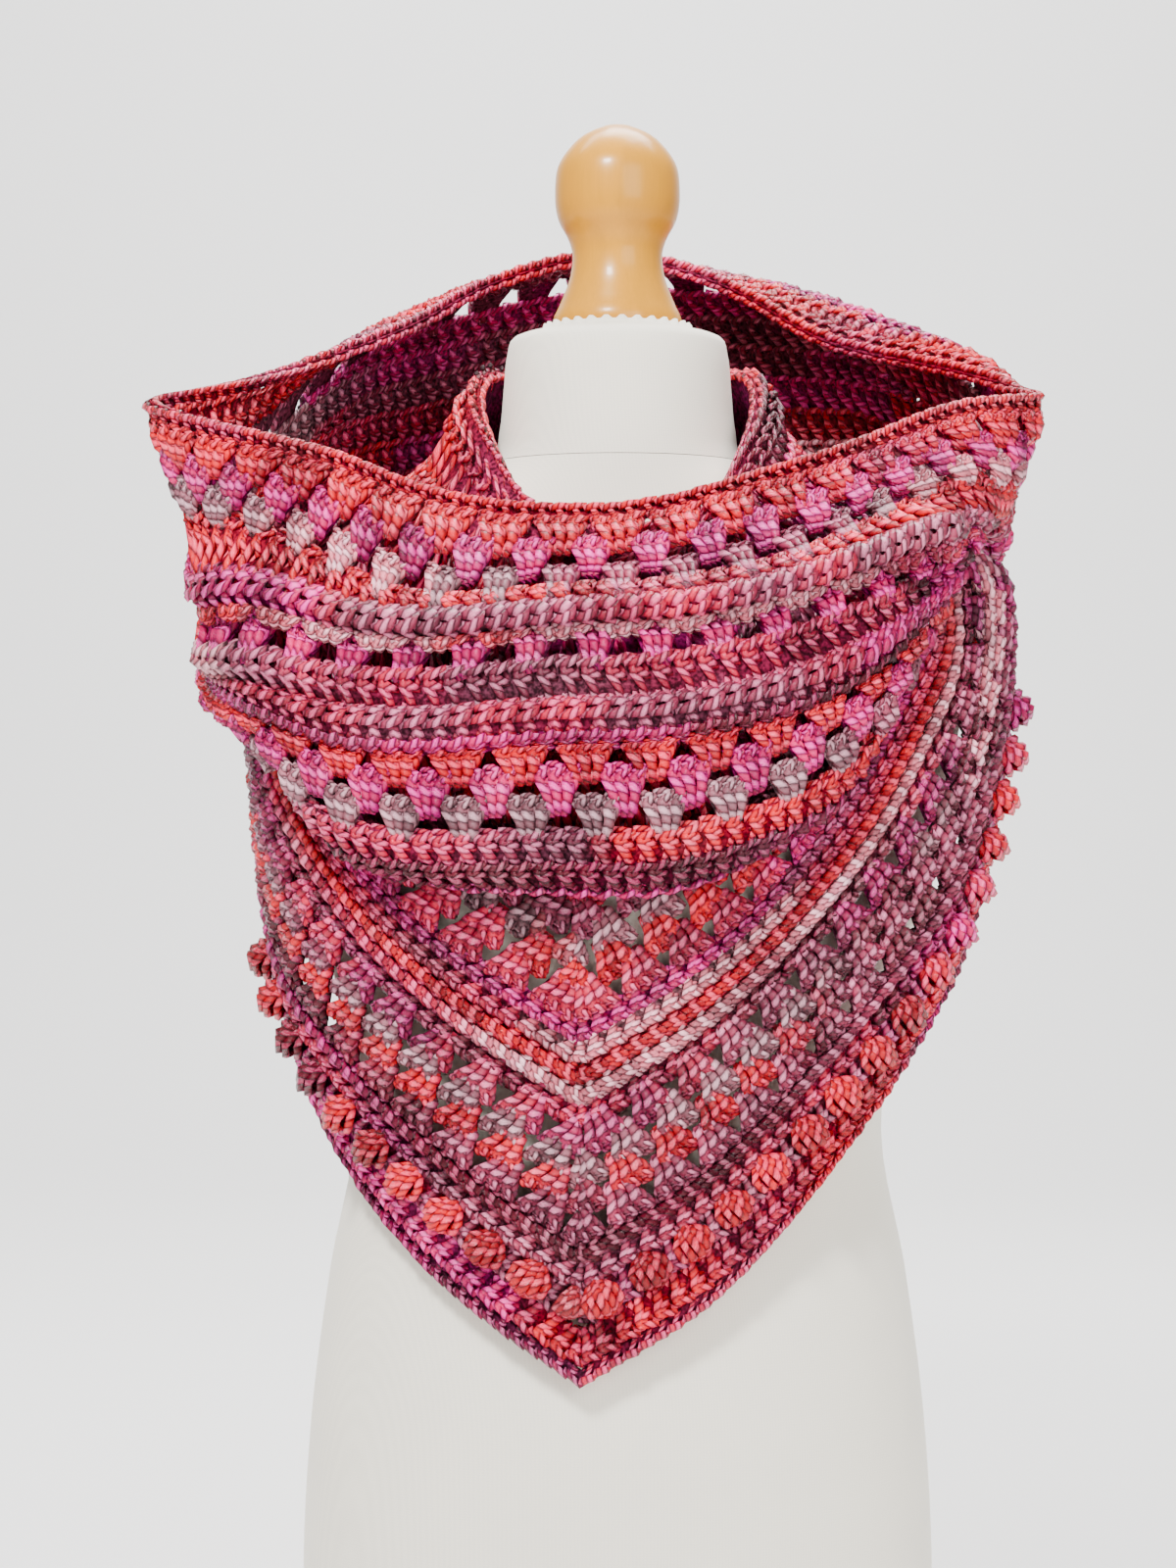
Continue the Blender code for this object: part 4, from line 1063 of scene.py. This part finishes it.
def fold_courses(angles, seed):
    """Rows of the layer that comes down from the crest to the cowl's seam, and the rim over the crest."""
    mantle = surfaces()[0]
    crest = crest_way(angles)
    courses = plain_courses("rddd", angles, crest, seam_way(angles) + END_GAP, FOLD_DYES, seed, False)
    for course in courses:
        course.lift = WALL + LAYER_GAP
    count = round(line_length(mantle, pairs(angles, crest)) / settings().stitch_width)
    rim = even_line(mantle, pairs(angles, crest + RIM_RISE), count)
    cells = spread(rim, rim - (0.0, RIM_DEPTH))
    dyes = dyes_along(CREST_DYES, count, seed + 7)
    return courses + [Course(EDGE_STITCH, cells, dyes, (WALL + LAYER_GAP) / 2)]


def sides_of_cowl():
    """Shares of the way round the cowl at its left and its right side."""
    return np.interp([-90.0, 90.0], surfaces()[2], np.arange(NET_AROUND) / NET_AROUND)


def dressed(name, sheet, courses, seed):
    """Stitches and their backing for one piece of the scarf, in place of its solid."""
    yarn, cloth = looks()
    many = sum(len(course.cells) for course in courses) > MOST_STITCHES
    half = (len(courses) + 1) // 2 if many else len(courses)
    parts = [courses[:half], courses[half:]][:1 + many]
    stitches = [
        surfaced(crochet(name + ending, sheet, part, seed + number), yarn)
        for number, (part, ending) in enumerate(zip(parts, ("_stitches", "_stitches_low")))
    ]
    # The _cloth piece is a thin wall behind the stitches, coloured with painted shade.
    shell = surfaced(backing(name + "_cloth", sheet, courses), cloth)
    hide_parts(name)


def math_node(operation, swapped=False):
    """A method that adds one Math node; swapped puts the value it is called on second."""
    def method(value, other=0.0):
        inputs = (other, value) if swapped else (value, other)
        return value.nodes.add("ShaderNodeMath", {"operation": operation}, dict(enumerate(inputs)))
    return method


class Value:
    """One output of a node; arithmetic on it adds Math nodes."""

    __add__ = __radd__ = math_node("ADD")
    __mul__ = __rmul__ = math_node("MULTIPLY")
    __sub__ = math_node("SUBTRACT")
    __rsub__ = math_node("SUBTRACT", swapped=True)
    __truediv__ = math_node("DIVIDE")
    __pow__ = math_node("POWER")
    wave = math_node("SINE")
    size = math_node("ABSOLUTE")

    def __init__(self, nodes, socket):
        self.nodes = nodes
        self.socket = socket

    def smooth(self, low, high):
        settings = {"interpolation_type": "SMOOTHSTEP"}
        return self.nodes.add("ShaderNodeMapRange", settings, {0: self, 1: low, 2: high, 3: 0.0, 4: 1.0})


class Nodes:
    """Nodes of one material, added and linked by type, settings and sockets."""

    def __init__(self, name):
        self.material = bpy.data.materials.new(name)
        self.material.use_nodes = True
        self.tree = self.material.node_tree
        self.shader = self.tree.nodes["Principled BSDF"]

    def add(self, kind, settings=None, sockets=None, output=0):
        node = self.tree.nodes.new(kind)
        for key, value in (settings or {}).items():
            setattr(node, key, value)
        for key, value in (sockets or {}).items():
            self.connect(node.inputs[key], value)
        return Value(self, node.outputs[output])

    def connect(self, target, value):
        if isinstance(value, Value):
            self.tree.links.new(value.socket, target)
        else:
            target.default_value = value

    def set(self, **values):
        for key, value in values.items():
            self.connect(self.shader.inputs[key.replace("_", " ")], value)

    def parts(self, vector):
        split = self.add("ShaderNodeSeparateXYZ", sockets={0: vector})
        return [Value(self, output) for output in split.socket.node.outputs]

    def place(self):
        return self.add("ShaderNodeTexCoord", output="Object")

    def noise(self, place, scale, detail=2.0, output="Fac"):
        sockets = {"Vector": place, "Scale": scale, "Detail": detail}
        return self.add("ShaderNodeTexNoise", sockets=sockets, output=output)

    def blend(self, share, first, second, kind="MIX"):
        settings = {"data_type": "RGBA", "blend_type": kind}
        return self.add("ShaderNodeMix", settings, {0: share, 6: first, 7: second}, output=2)

    def shaded(self, colour, value):
        grey = self.add("ShaderNodeCombineXYZ", sockets={0: value, 1: value, 2: value})
        return self.blend(1.0, colour, grey, "MULTIPLY")

    def bump(self, height, strength, distance):
        sockets = {"Height": height, "Strength": strength, "Distance": distance}
        return self.add("ShaderNodeBump", sockets=sockets)


def solid(colour):
    return (*colour, 1.0)


def yarn_material():
    """Two plies twisted together, each a bundle of fibres: bright streaks and a painted highlight on its
    crown, painted shade between.
    """
    yarn = Nodes("marled_yarn")
    dye = yarn.add("ShaderNodeAttribute", {"attribute_name": "dye"}, output="Color")
    spot = yarn.add("ShaderNodeUVMap", {"uv_map": "along_yarn"})
    around, along, _ = yarn.parts(spot)
    turned = around + along / settings().ply_lay
    twist = (turned * (2 * math.pi)).wave()
    crown = twist.size() ** 0.6
    other_ply = twist.smooth(-0.2, 0.3)
    lengthwise = yarn.add("ShaderNodeCombineXYZ", sockets={0: turned * 20.0, 1: along * 0.40, 2: 0.0})
    streaks = yarn.noise(lengthwise, 1.0, 3.0)
    fuzz = yarn.noise(yarn.place(), 1900.0, 2.0)
    patches = yarn.noise(yarn.place(), 150.0, 2.0)
    fibres = streaks * 0.65 + fuzz * 0.35
    # Pale fibre marl in one ply, whose streaks also serve as painted glints on the yarn.
    marl = settings().marl * (0.4 + 1.2 * patches) * fibres.smooth(0.47, 0.58)
    dark_ply = yarn.blend(0.8, dye, yarn.blend(1.0, dye, dye, "MULTIPLY"))
    pale_ply = yarn.blend(marl, dye, solid((1.0, 0.62, 0.70)))
    plies = yarn.blend(other_ply, dark_ply, pale_ply)
    # Painted light: the base colour is darkened in the grooves between the plies as painted shade and lifted
    # on their crowns as a painted highlight; the fibre streaks and the paler ply vary its tone as well.
    light = (0.12 + 1.06 * crown) * (0.12 + 1.76 * fibres) * (0.82 + 0.30 * other_ply)
    yarn.set(Base_Color=yarn.shaded(plies, light), Roughness=0.36 - 0.14 * crown,
             Normal=yarn.bump(crown * 0.8 + fibres * 0.6, 1.0, 0.0012))
    yarn.set(Sheen_Weight=0.02, Sheen_Roughness=0.4, Sheen_Tint=solid((1.0, 0.75, 0.78)),
             Specular_IOR_Level=0.35)
    return yarn.material


def backing_material():
    """Yarn between the stitches, darkened as painted shade."""
    cloth = Nodes("yarn_shadow")
    dye = cloth.add("ShaderNodeAttribute", {"attribute_name": "dye"}, output="Color")
    mottle = cloth.noise(cloth.place(), 520.0, 3.0)
    # Painted shade: the dye is kept at 6 to 40 percent of itself, mottled at random, so the wall behind the
    # stitches is as dark as the shade between them.
    cloth.set(Base_Color=cloth.shaded(dye, 0.06 + 0.34 * mottle.smooth(0.35, 0.70)), Roughness=0.95,
              Normal=cloth.bump(mottle, 0.6, 0.001))
    cloth.set(Specular_IOR_Level=0.1)
    return cloth.material


def jersey_material(colour):
    """Fine stretched jersey: rows of tiny stitches over a firm form."""
    jersey = Nodes("cream_jersey_cloth")
    place = jersey.place()
    x, y, z = jersey.parts(place)
    ribs = ((x + y) * (2 * math.pi / RIB_PITCH)).wave() * 0.5 + 0.5
    rows = (z * (2 * math.pi / JERSEY_ROW)).wave() * 0.5 + 0.5
    stitches = ribs * 0.6 + rows * 0.4
    mottle = jersey.noise(place, 22.0, 4.0)
    fuzz = jersey.noise(place, 2400.0, 2.0)
    shade = 0.93 + 0.06 * stitches + 0.08 * (mottle - 0.5)
    jersey.set(Base_Color=jersey.shaded(solid(colour), shade), Roughness=0.92,
               Normal=jersey.bump(stitches * 0.4 + fuzz * 0.6, 0.16, 0.0004))
    jersey.set(Sheen_Weight=0.2, Specular_IOR_Level=0.25)
    return jersey.material


def wood_material(colour):
    """Turned wood under varnish: faint long grain with fine pores."""
    wood = Nodes("varnished_wood")
    x, y, z = wood.parts(wood.place())
    stretched = wood.add("ShaderNodeCombineXYZ", sockets={0: x * 55.0, 1: y * 55.0, 2: z * 9.0})
    sway = wood.noise(stretched, 1.0, 3.0)
    rings = (x * 160.0 + y * 60.0 + sway * 14.0).wave() * 0.5 + 0.5
    fine = wood.add("ShaderNodeCombineXYZ", sockets={0: x * 900.0, 1: y * 900.0, 2: z * 40.0})
    pores = wood.noise(fine, 1.0, 2.0)
    dark = tuple(channel * 0.62 for channel in colour)
    veins = rings.smooth(0.2, 1.0) * 0.14 + sway.smooth(0.45, 0.75) * 0.22
    grain = wood.blend(veins, solid(colour), solid(dark))
    wood.set(Base_Color=wood.shaded(grain, 0.93 + 0.14 * pores), Roughness=0.26 + 0.10 * sway,
             Normal=wood.bump(pores * 0.3 + rings * 0.1, 0.08, 0.0003))
    wood.set(Coat_Weight=0.15, Coat_Roughness=0.10, Specular_IOR_Level=0.3)
    return wood.material


def floor_material():
    floor = Nodes("pale_floor")
    mottle = floor.noise(floor.place(), 3.0, 3.0)
    floor.set(Base_Color=floor.shaded(solid((0.90, 0.89, 0.88)), 0.97 + 0.04 * mottle), Roughness=0.8)
    return floor.material


@functools.cache
def looks():
    """The yarn and its backing of painted shade, which all the scarf's pieces share."""
    return yarn_material(), backing_material()


def add_edging(name, sheet, lines, dyes, seed, count):
    """A row of short stitches over an edge, with its chain on the rim."""
    tops = even_line(sheet, lines[0], count)
    cells = spread(tops, straight_down(tops, lines[1]))
    dressed(name, sheet, [Course(EDGE_STITCH, cells, dyes_along(dyes, count, seed))], seed)


def corners_made(made):
    return [part for part in made["geom"] if isinstance(part, bmesh.types.BMVert)]


def drawn_up(name, rings, cap_low, cap_high):
    """A closed body drawn up ring by ring from a circle to rings of given points."""
    mesh = bmesh.new()
    ring = bmesh.ops.create_circle(mesh, cap_ends=False, segments=len(rings[0]), radius=1.0)["verts"]
    edges = list(mesh.edges)
    drawn = [ring]
    for _ in rings[1:]:
        made = bmesh.ops.extrude_edge_only(mesh, edges=edges)
        edges = [part for part in made["geom"] if isinstance(part, bmesh.types.BMEdge)]
        drawn.append(corners_made(made))
    for ring, spots in zip(drawn, rings):
        order = sorted(ring, key=lambda corner: math.atan2(corner.co.x, -corner.co.y))
        for corner, spot in zip(order, spots):
            corner.co = spot
    if cap_low:
        bmesh.ops.contextual_create(mesh, geom=drawn[0])
    if cap_high:
        bmesh.ops.contextual_create(mesh, geom=drawn[-1])
    bmesh.ops.recalc_face_normals(mesh, faces=mesh.faces)
    return place_piece(name, finished(name, mesh))


def turns_round(sides):
    """Angles of a ring's points, from just past the back round to it again."""
    return np.linspace(-180.0, 180.0, sides, endpoint=False) + 180.0 / sides


def form_rings(levels):
    turns = turns_round(FORM_RING)
    levels = [np.full(FORM_RING, level) for level in levels]
    return [place(turns, form_radius(turns, level), level) for level in levels]


def frill_rings(first):
    """The neck's cover gathered round the foot of the knob: small even scallops."""
    turns = turns_round(FORM_RING)
    wave = 0.5 + 0.5 * np.sin(np.radians(turns) * FRILL_WAVES)
    return [place(turns, radius + FRILL_SWAY * share * wave, first + rise + FRILL_LIFT * share * wave)
            for radius, rise, share in FRILL_PROFILE]


def knob_rings():
    turns = turns_round(KNOB_RING)
    return [place(turns, np.full(KNOB_RING, radius), np.full(KNOB_RING, level))
            for radius, level in zip(through(KNOB_PROFILE, KNOB_LEVELS), KNOB_LEVELS)]


def settings():
    return bpy.context.scene.cowl_scarf


class COWL_OT_stage(bpy.types.Operator):
    """Pale floor and backdrop, soft lights and the camera"""

    bl_idname = "cowl.stage"
    bl_label = "Stage"

    def execute(self, context):
        scene = context.scene
        mesh = bmesh.new()
        sweep = [(BACKDROP_START + math.sin(turn) * SWEEP_RADIUS, (1 - math.cos(turn)) * SWEEP_RADIUS)
                 for turn in np.linspace(0.2, math.pi / 2, 9)]
        profile = [(STUDIO_FRONT, 0.0), (BACKDROP_START, 0.0), *sweep]
        profile.append((BACKDROP_START + SWEEP_RADIUS, BACKDROP_TOP))
        corners = [mesh.verts.new((-STUDIO_WIDTH / 2, y, z)) for y, z in profile]
        edges = [mesh.edges.new(pair) for pair in zip(corners, corners[1:])]
        made = bmesh.ops.extrude_edge_only(mesh, edges=edges)
        bmesh.ops.translate(mesh, verts=corners_made(made), vec=(STUDIO_WIDTH, 0, 0))
        floor = linked("studio_floor", finished("studio_floor", mesh))
        floor.data.materials.append(floor_material())
        for name, spot, energy, size, aim in LAMPS:
            lamp = bpy.data.lights.new(name, "AREA")
            lamp.energy = energy
            lamp.size = size
            holder = linked(name, lamp)
            holder.location = spot
            holder.rotation_euler = (aim - holder.location).to_track_quat("-Z", "Y").to_euler()
        scene.world = bpy.data.worlds.new("soft_studio")
        scene.world.use_nodes = True
        ground = scene.world.node_tree.nodes["Background"].inputs
        ground["Color"].default_value = (0.95, 0.97, 1.0, 1.0)
        ground["Strength"].default_value = WORLD_LIGHT
        lens = bpy.data.cameras.new("camera")
        lens.lens = FOCAL_PIXELS / IMAGE_HEIGHT * lens.sensor_width
        scene.camera = linked("camera", lens)
        scene.camera.location = CAMERA_PLACE
        scene.camera.rotation_euler = (math.radians(90), 0, 0)
        return {"FINISHED"}


class COWL_OT_form(bpy.types.Operator):
    """Jersey-covered dress form with its neck and turned wooden knob"""

    bl_idname = "cowl.form"
    bl_label = "Dress form"

    def execute(self, context):
        jersey = jersey_material(settings().jersey_colour)
        wood = wood_material(settings().wood_colour)
        neck_rings = form_rings(NECK_LEVELS) + frill_rings(NECK_LEVELS[-1])
        for name, node, rings, cap_low, cap_high, material, slot in (
            ("jersey_torso", "form_torso", form_rings(TORSO_LEVELS), True, False, jersey, "cream_jersey"),
            ("jersey_neck", "form_neck", neck_rings, False, True, jersey, "cream_jersey"),
            ("wooden_knob", "form_knob", knob_rings(), True, True, wood, "honey_wood"),
        ):
            piece = surfaced(drawn_up(name, rings, cap_low, cap_high), material)
            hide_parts(node)
        return {"FINISHED"}


def front_angles():
    return np.linspace(SIDE_SLIT - 90.0, 90.0 - SIDE_SLIT, LINE_STEPS)


def back_angles():
    return np.linspace(90.0 + SIDE_SLIT, 270.0 - SIDE_SLIT, LINE_STEPS)


class COWL_OT_point(bpy.types.Operator):
    """Pointed front of the mantle, its back and its hem edging"""

    bl_idname = "cowl.point"
    bl_label = "Mantle and point"

    def execute(self, context):
        mantle = surfaces()[0]
        dressed("front_point", mantle, point_courses(front_angles(), 100), 11)
        dressed("mantle_back", mantle, back_courses(back_angles(), 300), 12)
        turns = np.linspace(TIP_ANGLE, TIP_ANGLE + 360.0, 2 * LINE_STEPS)
        hem = way_up(mantle, turns, hem_height(turns))
        lines = [pairs(turns, hem + depth) for depth in (0.0, EDGING_DEPTH)]
        add_edging("hem_edging", mantle, lines, HEM_DYES, 13, HEM_STITCHES)
        return {"FINISHED"}


class COWL_OT_folds(bpy.types.Operator):
    """Layer that turns over at the neck and comes down inside the cowl"""

    bl_idname = "cowl.folds"
    bl_label = "Neck folds"

    def execute(self, context):
        for name, turns, seed, under in (
            ("neck_fold_front", front_angles(), 500, "front_point_cloth"),
            ("neck_fold_back", back_angles(), 600, "mantle_back_cloth"),
        ):
            dressed(name, surfaces()[0], fold_courses(turns, seed), seed)
        return {"FINISHED"}


class COWL_OT_cowl(bpy.types.Operator):
    """Draped cowl at the front, the hood at the back and their face edging"""

    bl_idname = "cowl.cowl"
    bl_label = "Cowl and hood"

    def execute(self, context):
        cowl = surfaces()[1]
        left, right = sides_of_cowl()
        front = cowl_courses(left, right, COWL_ROWS, 700)
        dressed("cowl_front", cowl, front, 21)
        hood = cowl_courses(right, left + 1, HOOD_ROWS, 900)
        dressed("hood_back", cowl, hood, 22)
        around = np.linspace(0.0, 1.0, 2 * LINE_STEPS)
        depth = EDGING_DEPTH / first_course_depth(cowl, around)
        lines = [pairs(around, share * depth) for share in (0.0, 1.0)]
        add_edging("face_edging", cowl, lines, FACE_DYES, 23, FACE_STITCHES)
        return {"FINISHED"}


def colour_setting(name, description, default):
    return bpy.props.FloatVectorProperty(
        name=name, description=description, default=default, subtype="COLOR", min=0.0, max=1.0)


class CowlScarfSettings(bpy.types.PropertyGroup):
    """Sizes and colours of the scarf and its form."""

    cluster_pitch: bpy.props.FloatProperty(
        name="Cluster pitch", description="Distance from one cluster of stitches to the next",
        default=0.0275, min=0.02, max=0.05, unit="LENGTH")
    stitch_width: bpy.props.FloatProperty(
        name="Stitch width", description="Width of one double crochet",
        default=0.0098, min=0.008, max=0.02, unit="LENGTH")
    ply_lay: bpy.props.FloatProperty(
        name="Ply lay", description="Millimetres of strand to one turn of its two plies",
        default=7.6, min=2.0, max=12.0)
    # Pale marl of one ply, which also paints glints on the yarn.
    marl: bpy.props.FloatProperty(
        name="Marl", description="How much pale fibre shows in one of the two plies",
        default=0.13, min=0.0, max=1.0, subtype="FACTOR")
    jersey_colour: colour_setting("Jersey", "Colour of the form's jersey cover", (1.0, 0.94, 0.80))
    wood_colour: colour_setting("Wood", "Colour of the varnished knob", (0.66, 0.28, 0.008))
    __annotations__ |= {
        dye: colour_setting(dye.capitalize(), f"The yarn's {dye} lengths", value)
        for dye, value in SHADES.items()}


class COWL_PT_panel(bpy.types.Panel):
    """Lists the pieces of the scarf in the sidebar"""

    bl_idname = "COWL_PT_panel"
    bl_label = "Cowl Scarf"
    bl_space_type = "VIEW_3D"
    bl_region_type = "UI"
    bl_category = "Cowl Scarf"

    def draw(self, context):
        layout = self.layout
        for name in CowlScarfSettings.__annotations__:
            layout.prop(context.scene.cowl_scarf, name)
        for operator in OPERATORS:
            layout.operator(operator.bl_idname)


OPERATORS = (COWL_OT_stage, COWL_OT_form, COWL_OT_point, COWL_OT_folds, COWL_OT_cowl)
CLASSES = (CowlScarfSettings, *OPERATORS, COWL_PT_panel)


def register():
    for kind in CLASSES:
        bpy.utils.register_class(kind)
    bpy.types.Scene.cowl_scarf = bpy.props.PointerProperty(type=CowlScarfSettings)


def unregister():
    del bpy.types.Scene.cowl_scarf
    for kind in reversed(CLASSES):
        bpy.utils.unregister_class(kind)


def main():
    register()
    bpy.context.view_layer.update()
    bpy.ops.cowl.stage()
    bpy.ops.cowl.form()
    bpy.ops.cowl.point()
    bpy.ops.cowl.folds()
    bpy.ops.cowl.cowl()


if __name__ == "__main__":
    main()
